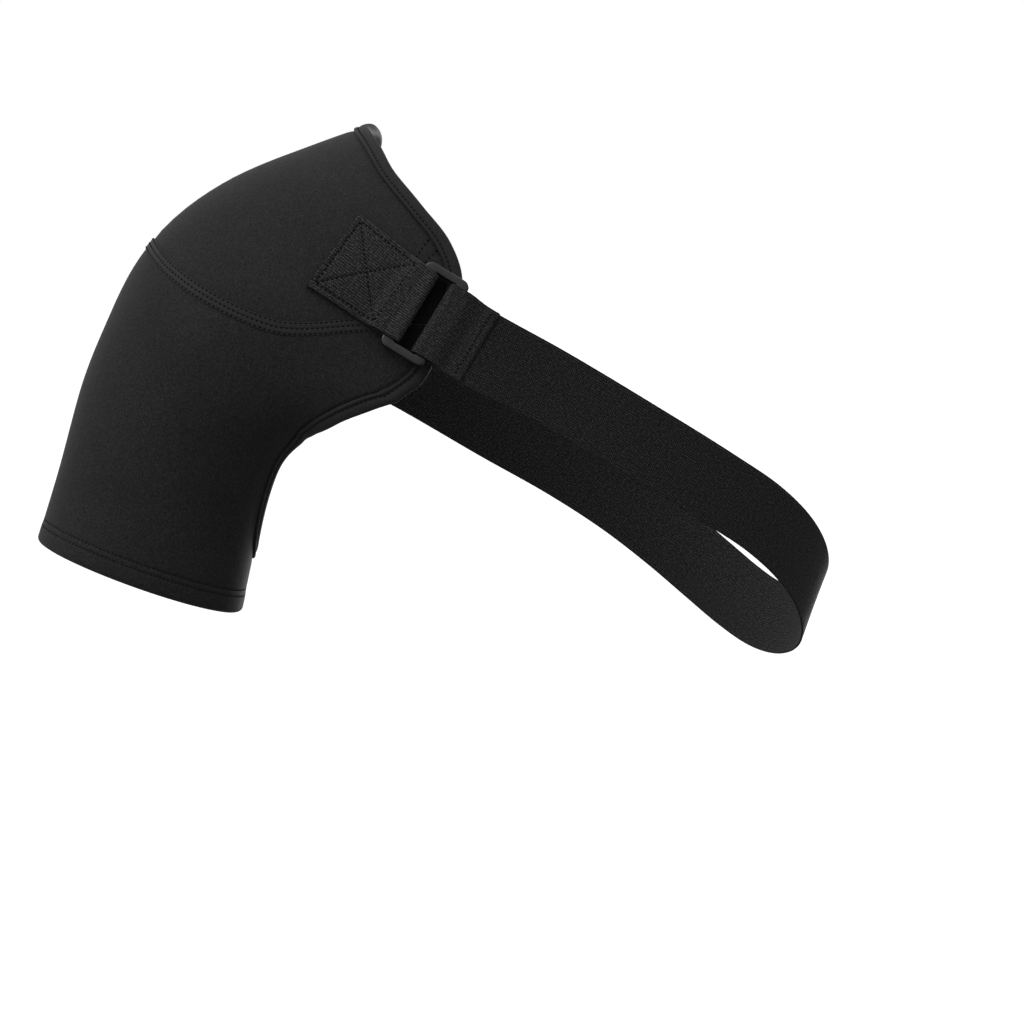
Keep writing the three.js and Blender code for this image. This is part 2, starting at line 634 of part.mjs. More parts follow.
// Doubled webbing sewn to the yoke, with the buckle's bar in its fold. It is flat at the bar and follows
// the shoulder further along.
function strapTab() {
  const { fold, centre, radius } = foldRoundBar(-1, TAB_THICKNESS);
  const layers = TAB_THICKNESS + BAR_GAP;
  const path = [];
  for (let k = TAB_STEPS; k >= 1; k--) {
    path.push({ run: centre - (TAB_SEWN * k) / TAB_STEPS, height: -radius });
  }
  path.push(...fold);
  for (let k = 1; k <= TAB_STEPS; k++) {
    const reach = (TAB_SEWN * k) / TAB_STEPS;
    const drop = THREE.MathUtils.smoothstep(reach, BUCKLE_BAR, BUCKLE_BAR + FOLD_DROP);
    path.push({ run: centre - reach, height: lerp(radius, layers - radius, drop) });
  }
  const point = (i, j, layer) => {
    const away = sideNormal(path, i);
    const run = path[i].run + away.run * TAB_THICKNESS * (layer - 0.5);
    const height = path[i].height + away.height * TAB_THICKNESS * (layer - 0.5);
    const turned = turnedTab(run, tabHalf(path[i].run) * ((2 * j) / WEBBING_CELLS - 1));
    const flat = atBuckle(turned.run, turned.side, height);
    const place = under(flat, FRAME.away, BUCKLE_AT);
    const sewn = above(place, FOAM + SEAT_GAP + TAB_THICKNESS / 2 + height + radius);
    return flat.lerp(sewn, THREE.MathUtils.smoothstep(centre - run, BUCKLE_BAR, BUCKLE_BAR + FOLD_DROP));
  };
  return sheet(path.length, WEBBING_CELLS + 1, point);
}

// Where the strap goes round the chest: turn 90 is the middle of the front, 0 the far side and -90 the
// back. It falls from the point where it leaves the buckle, and dips as it goes round the far side.
function chest(turn) {
  const from = atBuckle(BAR_OFFSET, 0, 0);
  const cos = Math.cos(radians(turn));
  const sin = Math.sin(radians(turn));
  const power = 2 / CHEST.fullness;
  const wide = Math.sign(cos) * Math.abs(cos) ** power;
  const deep = Math.sign(sin) * Math.abs(sin) ** power;
  const dip = STRAP_DIP.depth * (1 - ease(Math.abs(turn - STRAP_DIP.turn) / STRAP_DIP.span));
  const start = from.z + STRAP_FALL * from.x - dip;
  const level = CHEST.halfWidth + CHEST.taper * (start - CHEST.z);
  const x = (CHEST.x + level * wide) / (1 + CHEST.taper * STRAP_FALL * wide);
  const z = start - STRAP_FALL * x;
  const halfWidth = CHEST.halfWidth + CHEST.taper * (z - CHEST.z);
  const normal = vector(
    (Math.sign(cos) * Math.abs(cos) ** (2 - power)) / halfWidth,
    (-Math.sign(sin) * Math.abs(sin) ** (2 - power)) / CHEST.halfDepth,
    (-CHEST.taper * cos * cos) / halfWidth,
  ).normalize();
  return { point: vector(x, CHEST.y - CHEST.halfDepth * deep, z), normal, sewn: 0 };
}

// The strap's end on the back lobe: distance is counted from BACK_AT towards the far side.
function backLobe(distance, height) {
  const normal = shoulderNormal(BACK_AT.angle, BACK_AT.station);
  const target = shoulder(BACK_AT.angle, BACK_AT.station).addScaledVector(strapRun(normal), distance);
  const place = under(target, normal, BACK_AT);
  return { point: above(place, FOAM + height), normal: shoulderNormal(place.angle, place.station), sewn: 1 };
}

// The strap's main layer from the buckle round the chest to its sewn end, as even steps of a smooth curve.
function strapPath(centre, radius) {
  const onPad = SEAT_GAP + STRAP_THICKNESS / 2;
  const overBinding = onPad + BINDING_GAP + BINDING_TAPE;
  const backNormal = shoulderNormal(BACK_AT.angle, BACK_AT.station);
  const knots = [0, 0.5, 1].map((share) => ({
    point: atBuckle(centre + share * STRAP_STRAIGHT, 0, -radius),
    normal: FRAME.away,
    sewn: 0,
  }));
  for (let turn = CHEST_KNOTS.first; turn >= -CHEST_KNOTS.first; turn -= CHEST_KNOTS.step) {
    const knot = chest(turn);
    const lobe = turn > 0 ? FRAME.away : backNormal;
    knot.normal.lerp(lobe, ease((Math.abs(turn) - STRAP_TWIST.from) / STRAP_TWIST.span)).normalize();
    knots.push(knot);
  }
  const inside = BACK_RIM - BINDING_WIDTH - BACK_OVERLAP;
  knots.push(backLobe(BACK_RIM + BACK_OVERLAP, overBinding));
  knots.push(backLobe(inside, overBinding));
  for (let k = 1; k <= SEWN_KNOTS; k++) {
    knots.push(backLobe(inside - ((STRAP_SEWN - BACK_OVERLAP) * k) / SEWN_KNOTS, onPad));
  }
  const curve = new THREE.CatmullRomCurve3(knots.map((knot) => knot.point), false, "centripetal");
  const place = (t) => curve.getPoint(t);
  const count = Math.round((evenly(place, 2).total * LAP_STEPS) / STRAP_LAP) + 1;
  const last = knots.length - 1;
  return evenly(place, count).steps.map((t) => {
    const k = Math.min(Math.floor(t * last), last - 1);
    const u = t * last - k;
    const normal = knots[k].normal.clone().lerp(knots[k + 1].normal, u).normalize();
    return { centre: place(t), normal, sewn: lerp(knots[k].sewn, knots[k + 1].sewn, u) };
  });
}

// Elastic strap: its free end lies on top, cut parallel to the buckle's bar, and turns round it. The strap
// then goes round the chest and up to the back lobe, where its other end is sewn down.
function chestStrap() {
  const { fold, centre, radius } = foldRoundBar(1, STRAP_THICKNESS);
  const main = strapPath(centre, radius);
  main.forEach((step, k) => {
    const reach = (STRAP_LAP * k) / LAP_STEPS;
    const narrowed = THREE.MathUtils.smoothstep(reach, STRAP_NARROWS.from, STRAP_NARROWS.to);
    step.wide = lerp(STRAP_END_WIDTH, STRAP_WIDTH, narrowed);
  });
  const path = [];
  for (let k = LAP_STEPS; k >= 1; k--) {
    const drop = THREE.MathUtils.smoothstep((STRAP_LAP * k) / LAP_STEPS, BUCKLE_BAR, BUCKLE_BAR + FOLD_DROP);
    const apart = lerp(2 * radius, STRAP_THICKNESS + BAR_GAP, drop);
    const lifted = main[k].centre.clone().addScaledVector(main[k].normal, apart);
    path.push({ centre: lifted, normal: main[k].normal.clone().negate(), wide: STRAP_END_WIDTH });
  }
  path[0].cut = FRAME.across;
  for (let k = 0; k < FOLD_STEPS; k++) {
    const { run, height } = fold[FOLD_STEPS - k];
    const turn = (Math.PI * k) / FOLD_STEPS;
    const normal = FRAME.along.clone().multiplyScalar(Math.sin(turn));
    normal.addScaledVector(FRAME.away, -Math.cos(turn));
    path.push({ centre: atBuckle(run, 0, height), normal, wide: STRAP_END_WIDTH });
  }
  return ribbon([...path, ...main], STRAP_WIDTH, STRAP_THICKNESS, WEBBING_CELLS);
}

function part(name, geometry, colour, roughness) {
  const material = new THREE.MeshStandardMaterial({ color: colour, roughness, metalness: 0 });
  const mesh = new THREE.Mesh(geometry, material);
  mesh.name = name;
  return mesh;
}

const pad = new THREE.Group();
pad.add(part("sleeve_panel", sleevePanel(), 0x2b2b2c, 0.85));
pad.add(part("yoke_panel", yokePanel(), 0x303031, 0.85));
pad.add(part("seam_tape", seamTape(), 0x2e2e2f, 0.8));
pad.add(part("edge_binding", edgeBinding(), 0x262627, 0.75));
pad.add(part("strap_tab", strapTab(), 0x222324, 0.9));
pad.add(part("buckle", buckle(), 0x1b1b1c, 0.4));
pad.add(part("chest_strap", chestStrap(), 0x1f2021, 0.9));

export default pad;
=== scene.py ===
import math

import bpy
import numpy as np
from mathutils import Matrix, Vector


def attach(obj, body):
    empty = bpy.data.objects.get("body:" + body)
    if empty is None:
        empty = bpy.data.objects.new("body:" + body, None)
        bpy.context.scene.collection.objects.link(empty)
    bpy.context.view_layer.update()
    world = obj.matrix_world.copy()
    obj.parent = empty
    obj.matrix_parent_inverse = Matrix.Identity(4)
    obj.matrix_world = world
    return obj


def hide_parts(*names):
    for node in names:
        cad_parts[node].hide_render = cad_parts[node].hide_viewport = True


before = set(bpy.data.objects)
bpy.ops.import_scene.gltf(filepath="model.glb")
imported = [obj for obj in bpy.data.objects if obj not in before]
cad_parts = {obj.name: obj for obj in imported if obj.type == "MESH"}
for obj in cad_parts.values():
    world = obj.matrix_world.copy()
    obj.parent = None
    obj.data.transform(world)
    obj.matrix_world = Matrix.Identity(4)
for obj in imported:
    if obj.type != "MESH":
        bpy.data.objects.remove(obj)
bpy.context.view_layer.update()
bpy.ops.object.select_all(action="DESELECT")

# Sleeve
# Foam rubber faced with knitted cloth on both sides, cut in one with the front and the back wing.
# It is shaped round the upper arm, and its lower edge is turned up and held by two rows of stitches.

MM = 0.001
FOAM = 4 * MM
SEAM_SPLIT = 0.1 * MM  # between the sleeve and the yoke, under the seam tape
BINDING_WIDTH = 7.8 * MM
SOLID_COLUMNS = 82  # columns of the solids, which the seam and the edge are counted in
COLUMNS = 4 * SOLID_COLUMNS
SEAM_COLUMN = 4 * 18  # where the seam turns up to the end of each lobe
SEAM_TURN = SEAM_COLUMN / COLUMNS
SEAM_SIDESTEP = 0.03 / SOLID_COLUMNS
SEARCH_STEPS = 12  # towards the place under a point
HALVINGS = 36  # of the span in which a share of the way up is found

# The shoulder inside the pad, from the hem up the arm and across to the neck, in millimetres and degrees:
# middle x, y, z, lean of the outward axis, droop of the front axis, reach outwards, inwards, front and back.
SECTIONS = np.array(
    [
        (-46, 24, -241, 19, 9, 64.5, 63, 56, 53),
        (-35, 18, -194, 17, 11, 62, 61, 56, 53),
        (-20, 10, -148, 20, 8, 66, 60, 60, 57),
        (-2, 4, -122, 36, 4, 76, 62, 70, 66),
        (18, 2, -114, 56, 2, 98, 60, 78, 77),
        (38, 0, -116, 75, 0, 122, 62, 87, 87),
        (62, 0, -122, 88, 0, 145, 64, 96, 95),
        (88, 0, -130, 96, 0, 170, 66, 104, 102),
        (116, 0, -136, 100, 0, 188, 68, 110, 107),
    ],
    float,
)

# The bound edge, once round from the top of the shoulder over the front: angle, and row of SECTIONS.
EDGE = np.array(
    [
        (0, 6.87), (10, 6.75), (22, 6.72), (34, 6.77), (46, 7.06), (56, 7.47), (64, 7.67), (72, 7.58),
        (79, 7.28), (85, 7.02), (89, 6.63), (96.5, 6.08), (108, 5.31), (122, 4.38), (134.5, 3.12),
        (141, 1.92), (147, 1.24), (159, 0.86), (180, 0.8), (201, 1.0), (213, 1.5), (223, 2.1),
        (233, 2.85), (243, 3.75), (252, 4.7), (262, 5.8), (270.5, 6.56), (275.5, 7), (281, 7.37),
        (288, 7.58), (296, 7.67), (306, 7.64), (318, 7.58), (330, 7.55), (340, 7.42), (350, 7.15),
    ]
)
EDGE_RING = np.vstack([EDGE[-2:] - (360, 0), EDGE, EDGE[:3] + (360, 0)])

# The yoke seam, from where it turns up behind over the outside of the shoulder to where it turns up in front.
SEAM = np.array(
    [
        (-74.3, 5.4), (-73.8, 5.05), (-72.8, 4.76), (-70.4, 4.48), (-66, 4.27), (-60, 4.14), (-45, 4.05),
        (-30, 4.05), (-13, 3.985), (4, 3.86), (21, 3.76), (36, 3.75), (46, 3.8), (54, 3.885), (61, 4.02),
        (67, 4.21), (71, 4.44), (73.3, 4.74), (74.3, 5.05), (74.8, 5.4),
    ]
)


def through(rows, t):
    """A smooth curve through the rows of a table. t counts rows."""
    t = np.asarray(t, float)
    table = np.vstack([2 * rows[0] - rows[1], rows, 2 * rows[-1] - rows[-2]])
    k = np.clip(np.floor(t).astype(int), 0, len(rows) - 2)
    u = (t - k)[..., None]
    a, b, c, d = (table[k + n] for n in range(4))
    return b + 0.5 * u * (c - a + u * (2 * a - 5 * b + 4 * c - d + u * (3 * (b - c) + d - a)))


def dot(a, b):
    return (a * b).sum(-1)


def unit(v):
    return v / np.linalg.norm(v, axis=-1, keepdims=True)


def between(a, b, u):
    return a + (b - a) * u


def ease(u):
    u = np.clip(u, 0, 1)
    return u * u * (3 - 2 * u)


def dip(distance, depth, width):
    """A dent: its full depth at a distance of 0, and next to nothing from twice the width."""
    return depth * np.exp(-((distance / width) ** 2))


def step_down(x, height, end, fade):
    """A height that is eased down to nothing past an end."""
    return height * (1 - ease((x - end) / fade))


def rounded(reach, radius):
    """The share of its thickness that a sheet has at a reach from its round edge."""
    return np.sqrt(1 - np.clip(1 - reach / radius, 0, 1) ** 2)


def shoulder(place):
    """The inside face of the pad at a place: an angle round it and a row of SECTIONS."""
    angle, row = np.broadcast_arrays(*(np.asarray(part, float) for part in place))
    x, y, z, lean, droop, out, inner, front, back = np.moveaxis(through(SECTIONS, row), -1, 0)
    cos, sin = np.cos(np.radians(angle)), np.sin(np.radians(angle))
    lean, droop = np.radians(lean), np.radians(droop)
    outwards = cos * np.where(cos > 0, out, inner)
    forwards = sin * np.where(sin > 0, front, back)
    x = x - outwards * np.cos(lean)
    y = y - forwards * np.cos(droop)
    z = z + outwards * np.sin(lean) - forwards * np.sin(droop)
    return MM * np.stack([x, y, z], -1)


def slopes(place):
    """Directions on the shoulder, round it for a degree and up it for a row."""
    angle, row = place
    round_it = shoulder((angle + 0.5, row)) - shoulder((angle - 0.5, row))
    up = 25 * (shoulder((angle, row + 0.02)) - shoulder((angle, row - 0.02)))
    return round_it, up


def facing(place):
    """The direction out of the shoulder."""
    return unit(np.cross(*slopes(place)))


def over(place, height):
    """A point at a height over the shoulder. The pad's outside is at FOAM."""
    return shoulder(place) + np.asarray(height)[..., None] * facing(place)


def under(target, direction, guess):
    """The place on the shoulder that lies under a point along a direction."""
    angle, row = guess
    for _ in range(SEARCH_STEPS):
        round_it, up = slopes((angle, row))
        miss = target - shoulder((angle, row))
        whole = dot(np.cross(round_it, up), direction)
        angle = angle + dot(np.cross(miss, up), direction) / whole
        row = row + dot(np.cross(round_it, miss), direction) / whole
    return angle, row


def lengths(points):
    """Distance from a line's first point to each of its points."""
    return np.r_[0, np.cumsum(np.linalg.norm(np.diff(points, axis=0), axis=1))]


def at_reach(reach, marks, points):
    """Values at some distances along a line. marks are the distances of the points that are given."""
    return np.stack([np.interp(reach, marks, points[:, n]) for n in range(3)], -1)


def edge_place(t):
    """The place on the bound edge at a share t of the way through its table."""
    laps = np.floor(t)
    found = through(EDGE_RING, (t - laps) * len(EDGE) + 2)
    return found[..., 0] + 360 * laps, found[..., 1]


fine = np.linspace(0, 1, 2401)
reach = lengths(shoulder(edge_place(fine)))
EDGE_LENGTH = reach[-1]
steps = np.interp(np.linspace(0, EDGE_LENGTH, COLUMNS + 1), reach, fine)
RIM = edge_place(steps)
AHEAD = unit(shoulder(edge_place(steps + 0.002)) - shoulder(edge_place(steps - 0.002)))
BEYOND = np.cross(facing(RIM), AHEAD)  # out across the bound edge
FOOT = under(shoulder(RIM) - BINDING_WIDTH * BEYOND, facing(RIM), RIM)  # inner line of the binding


def bell(count):
    """Weights of a soft average."""
    return np.hanning(count) / np.hanning(count).sum()


def softened(ring, period):
    """A value round the pad, eased over its sharp corners. period is its growth in one turn."""
    return np.convolve(np.r_[ring[-7:-1] - period, ring, ring[1:7] + period], bell(13), "valid")


FOOT = [softened(part, period) for part, period in zip(FOOT, (360, 0))]


def on_pad(turn, share):
    """The place at a share of the way round the pad, and of the way up from the hem to the binding."""
    laps = np.floor(turn)
    column = (turn - laps) * COLUMNS
    foot_angle, foot_row = (np.interp(column, np.arange(COLUMNS + 1), foot) for foot in FOOT)
    angle = between(360 * (turn - laps), foot_angle, ease(share)) + 360 * laps
    return angle, foot_row * share


def searched(low, high, short):
    """The share between low and high up to which short(share) holds."""
    for _ in range(HALVINGS):
        middle = (low + high) / 2
        below = short(middle)
        low, high = np.where(below, middle, low), np.where(below, high, middle)
    return (low + high) / 2


def seam(turn):
    """How far up the pad the yoke seam is. Past SEAM_TURN it stays level, as the middle line of each wing."""
    angles, rows = through(SEAM, np.linspace(0, len(SEAM) - 1, 3001)).T
    turn = np.clip(turn - np.round(turn), -SEAM_TURN, SEAM_TURN)

    def short(share):
        angle, row = on_pad(turn, share)
        return row < np.interp(angle, angles, rows)

    return searched(0 * turn, 1 + 0 * turn, short)


def along_line(line, turn):
    """A point of a line across the pad, and the line's direction there."""
    half = 0.5 / SOLID_COLUMNS
    behind, here, ahead = (shoulder(on_pad(at, line(at))) for at in (turn - half, turn, turn + half))
    return here, unit(ahead - behind)


def beside(line, turn, distance, limit):
    """How far up the pad a place is that lies at a distance from a line across it."""
    start, side = along_line(line, turn)
    low, high = np.broadcast_arrays(line(turn) + 0 * distance, limit + 0 * distance)

    def short(share):
        return np.linalg.norm(np.cross(shoulder(on_pad(turn, share)) - start, side), axis=-1) < distance

    return searched(low, high, short)


def hem(turn):
    return 0 * turn


HEM_ROUND = 3.2 * MM
HEM_MIDDLE = 1 * MM
HEM_RISE = (0.35 * MM, 9 * MM, 7 * MM)  # height, end and fade of the doubled cloth outside
HEM_FLAP = (2 * MM, 15.4 * MM, 1.5 * MM)  # the same inside
HEM_DENT = (0.55 * MM, 0.65 * MM)  # depth and width
HEM_STITCHES = (11 * MM, 15 * MM)
HEM_STITCH = (2.7 * MM, 1.9 * MM)  # pitch and length
HEM_STITCH_RISE = 0.15 * MM
HEM_LIMIT = 0.9  # a share of the way up that is well past the hem
HEM_UPS = MM * np.array(
    [0, 0.1, 0.45, 1, 1.8, 2.8, 4.2, 6.2, 8.2, 9.6, 10.4, 11, 11.6, 12.4, 13.6, 14.4, 15, 15.6, 16.2, 17]
)
SLEEVE_ROWS, YOKE_ROWS, RIM_ROWS = 32, 24, 3
SEAM_ROW = len(HEM_UPS) + SLEEVE_ROWS - 1
FOOT_ROW = SEAM_ROW + YOKE_ROWS
ROW_CROWDING = 1.6  # of the yoke's rows towards its edge
PRESSED_REACH, PRESSED_OUTSIDE, PRESSED_INSIDE = 2.4 * MM, 0.9 * MM, 0.6 * MM  # beside the binding
TAPE_BED, TAPE_SINK = 4.6 * MM, 0.5 * MM  # half the width of the dent under the seam tape, and its depth
MERGED = 2e-6  # points that are closer than this are one


def hem_faces(up):
    """Heights of the sleeve's two faces at a distance up from its lower edge, where the cloth is doubled."""
    full = rounded(up, HEM_ROUND)
    outer = FOAM + step_down(up, *HEM_RISE)
    for row in HEM_STITCHES:
        outer = outer - dip(up - row, *HEM_DENT)
    inner = -step_down(up, *HEM_FLAP)
    return HEM_MIDDLE + (outer - HEM_MIDDLE) * full, HEM_MIDDLE + (inner - HEM_MIDDLE) * full


def new_piece(name, points, faces):
    """A new piece from its points and faces."""
    mesh = bpy.data.meshes.new(name)
    mesh.from_pydata(points.tolist(), [], faces)
    piece = bpy.data.objects.new(name, mesh)
    bpy.context.collection.objects.link(piece)
    return piece


def closed_sheet(name, outer, inner, cells=None, uv=None):
    """A closed mesh between two grids of points. cells picks its squares where it goes all the way round.

    uv gives its flat layout.
    """
    columns, rows = outer.shape[:2]
    ends = "constant" if cells is None else "wrap"
    if cells is None:
        cells = np.ones((columns - 1, rows - 1), bool)
    framed = np.pad(np.pad(cells, ((1, 1), (0, 0)), ends), ((0, 0), (1, 1)))
    other = columns * rows
    spot = np.arange(other).reshape(columns, rows).tolist()
    faces = []
    for i, j in np.argwhere(cells):
        k = (i + 1) % columns
        corners = [spot[i][j], spot[k][j], spot[k][j + 1], spot[i][j + 1]]
        faces.append(corners)
        faces.append([corner + other for corner in reversed(corners)])
        for n, (p, q) in enumerate(((1, 0), (2, 1), (1, 2), (0, 1))):
            if not framed[i + p, j + q]:
                a, b = corners[n], corners[(n + 1) % 4]
                faces.append([b, a, a + other, b + other])
    piece = new_piece(name, np.vstack([outer.reshape(-1, 3), inner.reshape(-1, 3)]), faces)
    if uv:
        used = np.zeros(len(piece.data.loops), int)
        piece.data.loops.foreach_get("vertex_index", used)
        flat = np.stack(np.broadcast_arrays(uv[0][:, None], uv[1]), -1).reshape(-1, 2)
        piece.data.uv_layers.new(name="Cloth").data.foreach_set("uv", flat[used % other].ravel())
    tidy(piece)
    return piece


def pick(piece):
    """Selects a piece and nothing else."""
    bpy.ops.object.select_all(action="DESELECT")
    bpy.context.view_layer.objects.active = piece
    piece.select_set(True)


def edit_all():
    """Starts to edit the active piece, with all of it selected."""
    bpy.ops.object.mode_set(mode="EDIT")
    bpy.ops.mesh.select_all(action="SELECT")


def tidy(piece, angle=50):
    """Joins the points that meet, turns the faces outwards and shades the mesh smooth."""
    pick(piece)
    edit_all()
    bpy.ops.mesh.delete_loose()
    bpy.ops.mesh.select_all(action="SELECT")
    bpy.ops.mesh.remove_doubles(threshold=MERGED)
    bpy.ops.mesh.normals_make_consistent(inside=False)
    bpy.ops.object.mode_set(mode="OBJECT")
    bpy.ops.object.shade_smooth_by_angle(angle=math.radians(angle))
    bpy.ops.object.select_all(action="DESELECT")


def pad_panel(name, side):
    """The sleeve, side -1, or the yoke, side 1, as far as the seam that joins them."""
    number = np.arange(COLUMNS)
    signed = np.where(number > COLUMNS // 2, number - COLUMNS, number)
    turn = (signed / COLUMNS)[:, None]
    at_seam = np.abs(signed) <= SEAM_COLUMN
    aside = np.where(np.abs(signed) == SEAM_COLUMN, -np.sign(signed) * side, 0)
    hem_shares = beside(hem, turn, HEM_UPS[None, :], HEM_LIMIT)
    seam_share = seam(turn)
    trimmed = beside(seam, turn, np.full_like(turn, SEAM_SPLIT / 2), 1.0 if side > 0 else 0.0)
    low = np.linspace(0, 1, SLEEVE_ROWS + 1)[1:]
    high = 1 - (1 - np.linspace(0, 1, YOKE_ROWS + 1)[1:]) ** ROW_CROWDING
    shares = np.hstack(
        [hem_shares, between(hem_shares[:, -1:], seam_share, low), between(seam_share, 1, high)]
    )
    shares[at_seam, SEAM_ROW] = trimmed[at_seam, 0]
    turns = np.repeat(turn, FOOT_ROW + 1, axis=1)
    turns[:, SEAM_ROW:] += (aside * SEAM_SIDESTEP)[:, None]
    place = on_pad(turns, shares)
    rim_share = np.linspace(0, 1, RIM_ROWS + 1)[1:]
    rim_place = [between(foot[:-1, None], rim[:-1, None], rim_share) for foot, rim in zip(FOOT, RIM)]
    place = [np.hstack(pair) for pair in zip(place, rim_place)]
    base, normal = shoulder(place), facing(place)
    base[:, FOOT_ROW + 1 :] += (AHEAD[:-1] * (aside * SEAM_SPLIT / 2)[:, None])[:, None, :]
    outer_height = np.full(base.shape[:2], FOAM)
    inner_height = np.zeros(base.shape[:2])
    hem_rows = len(HEM_UPS)
    outer_height[:, :hem_rows], inner_height[:, :hem_rows] = hem_faces(HEM_UPS)
    from_foot = np.linalg.norm(base - base[:, FOOT_ROW : FOOT_ROW + 1], axis=-1)
    from_foot[:, FOOT_ROW:] = 0
    pressed = dip(from_foot, 1, PRESSED_REACH)
    start, ahead = along_line(seam, turn)
    from_seam = np.linalg.norm(np.cross(base - start, ahead), axis=-1)
    under_tape = np.exp(-((from_seam / TAPE_BED) ** 4)) * (np.abs(turn) < SEAM_TURN)
    outer_height -= PRESSED_OUTSIDE * pressed + TAPE_SINK * under_tape * (1 - pressed)
    inner_height += PRESSED_INSIDE * pressed
    in_yoke = np.zeros((COLUMNS, base.shape[1] - 1), bool)
    in_yoke[:SEAM_COLUMN, SEAM_ROW:] = True
    in_yoke[COLUMNS - SEAM_COLUMN :, SEAM_ROW:] = True
    outer = base + normal * outer_height[..., None]
    inner = base + normal * inner_height[..., None]
    return closed_sheet(name, outer, inner, in_yoke if side > 0 else ~in_yoke)


def new_material(name):
    """A new material, its node tree and its shader."""
    made = bpy.data.materials.new(name)
    made.use_nodes = True
    return made, made.node_tree, made.node_tree.nodes["Principled BSDF"]


def feed(tree, node, inputs):
    """Links a node's inputs to sockets, or sets them to values that are the same all over."""
    for name, value in inputs.items():
        if isinstance(value, bpy.types.NodeSocket):
            tree.links.new(value, node.inputs[name])
        else:
            node.inputs[name].default_value = value


def grain(tree, scale, detail, distortion=0.0, spot=None):
    """A noise texture on the part's own coordinates, or on others."""
    if spot is None:
        spot = tree.nodes.new("ShaderNodeTexCoord").outputs["Object"]
    noise = tree.nodes.new("ShaderNodeTexNoise")
    feed(tree, noise, {"Vector": spot, "Scale": scale, "Detail": detail, "Distortion": distortion})
    return noise.outputs["Fac"]


def grey(value, blue=1.0):
    """A grey colour, or one that is a little bluer."""
    return value, value, value * blue


def ramp(tree, value, *stops):
    """A colour ramp: stops are pairs of a position and a colour."""
    made = tree.nodes.new("ShaderNodeValToRGB")
    for n, (position, colour) in enumerate(stops):
        stop = made.color_ramp.elements[n] if n < 2 else made.color_ramp.elements.new(position)
        stop.position = position
        stop.color = (*colour, 1)
    feed(tree, made, {"Fac": value})
    return made.outputs["Color"]


def mixed(tree, kind, factor, a, b):
    """Two colours mixed."""
    made = tree.nodes.new("ShaderNodeMix")
    made.data_type = "RGBA"
    made.blend_type = kind
    feed(tree, made, {"Factor": factor, "A": a, "B": b})
    return made.outputs["Result"]


def bumped(tree, shader, height, strength, distance):
    """Relief of a surface from a height."""
    bump = tree.nodes.new("ShaderNodeBump")
    feed(tree, bump, {"Strength": strength, "Distance": distance, "Height": height})
    feed(tree, shader, {"Normal": bump.outputs["Normal"]})


def worked_out(tree, operation, *values):
    """A sum, product or function of numbers and sockets."""
    made = tree.nodes.new("ShaderNodeMath")
    made.operation = operation
    feed(tree, made, dict(enumerate(values)))
    return made.outputs["Value"]


def clouded_with_painted_shade(tree, cloth, clouds, lowest):
    """Cloth with a faint cloudiness, and painted shade: black under the buckle's slot, where it is always in
    the dark.
    """
    cloudy = ramp(tree, clouds, (0.3, grey(lowest)), (0.7, grey(1)))
    painted_shade = tree.nodes.new("ShaderNodeAttribute")
    painted_shade.attribute_name = "painted_shade"
    shade = ramp(tree, painted_shade.outputs["Fac"], (0, grey(1)), (1, grey(0.03)))
    return mixed(tree, "MULTIPLY", 1.0, mixed(tree, "MULTIPLY", 1.0, cloth, cloudy), shade)


def knitted_neoprene():
    """Matt knitted cloth on foam: fine curled fibres, and a faint cloudiness over the width of a hand."""
    made, tree, shader = new_material("knitted_neoprene")
    lay = grain(tree, 300, 1, 1.6)
    curls = worked_out(tree, "SINE", worked_out(tree, "MULTIPLY", lay, 42))
    nap = worked_out(tree, "MULTIPLY_ADD", curls, 0.22, grain(tree, 1100, 2))
    cloth = ramp(tree, nap, (0.32, grey(0.0085, 1.02)), (0.78, grey(0.027, 1.03)))
    # Painted shade: the cloth is painted black under the buckle's slot.
    colour = clouded_with_painted_shade(tree, cloth, grain(tree, 26, 3), 0.84)
    rough = ramp(tree, nap, (0.3, grey(0.78)), (0.8, grey(0.92)))
    feed(tree, shader, {"Base Color": colour, "Roughness": rough, "Specular IOR Level": 0.12})
    feed(tree, shader, {"Sheen Weight": 0.035, "Sheen Roughness": 0.4})
    bumped(tree, shader, nap, 0.3, 0.3 * MM)
    return made


def finished(piece, surface, slot, *nodes):
    """Gives a piece its surface and its place on the pad."""
    piece.data.materials.append(surface)
    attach(piece, "root")
    if nodes:
        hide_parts(*nodes)


NEOPRENE = knitted_neoprene()

sleeve = pad_panel("sleeve_foam", -1)
finished(sleeve, NEOPRENE, "neoprene", "sleeve_panel")

STITCH_WIDTH = 1.0 * MM
STITCH_SAG = 0.5  # how far a stitch's ends sink, in widths

# One stitch of thread along X, 1 long and 1 wide.
bpy.ops.mesh.primitive_uv_sphere_add(segments=8, ring_count=6, radius=0.5, rotation=(0, math.pi / 2, 0))
bpy.ops.object.transform_apply(rotation=True)
thread = bpy.context.object
STITCH_POINTS = np.array([point.co for point in thread.data.vertices])
STITCH_POINTS[:, 2] -= STITCH_SAG * 4 * STITCH_POINTS[:, 0] ** 2
STITCH_FACES = [tuple(face.vertices) for face in thread.data.polygons]
bpy.data.objects.remove(thread)


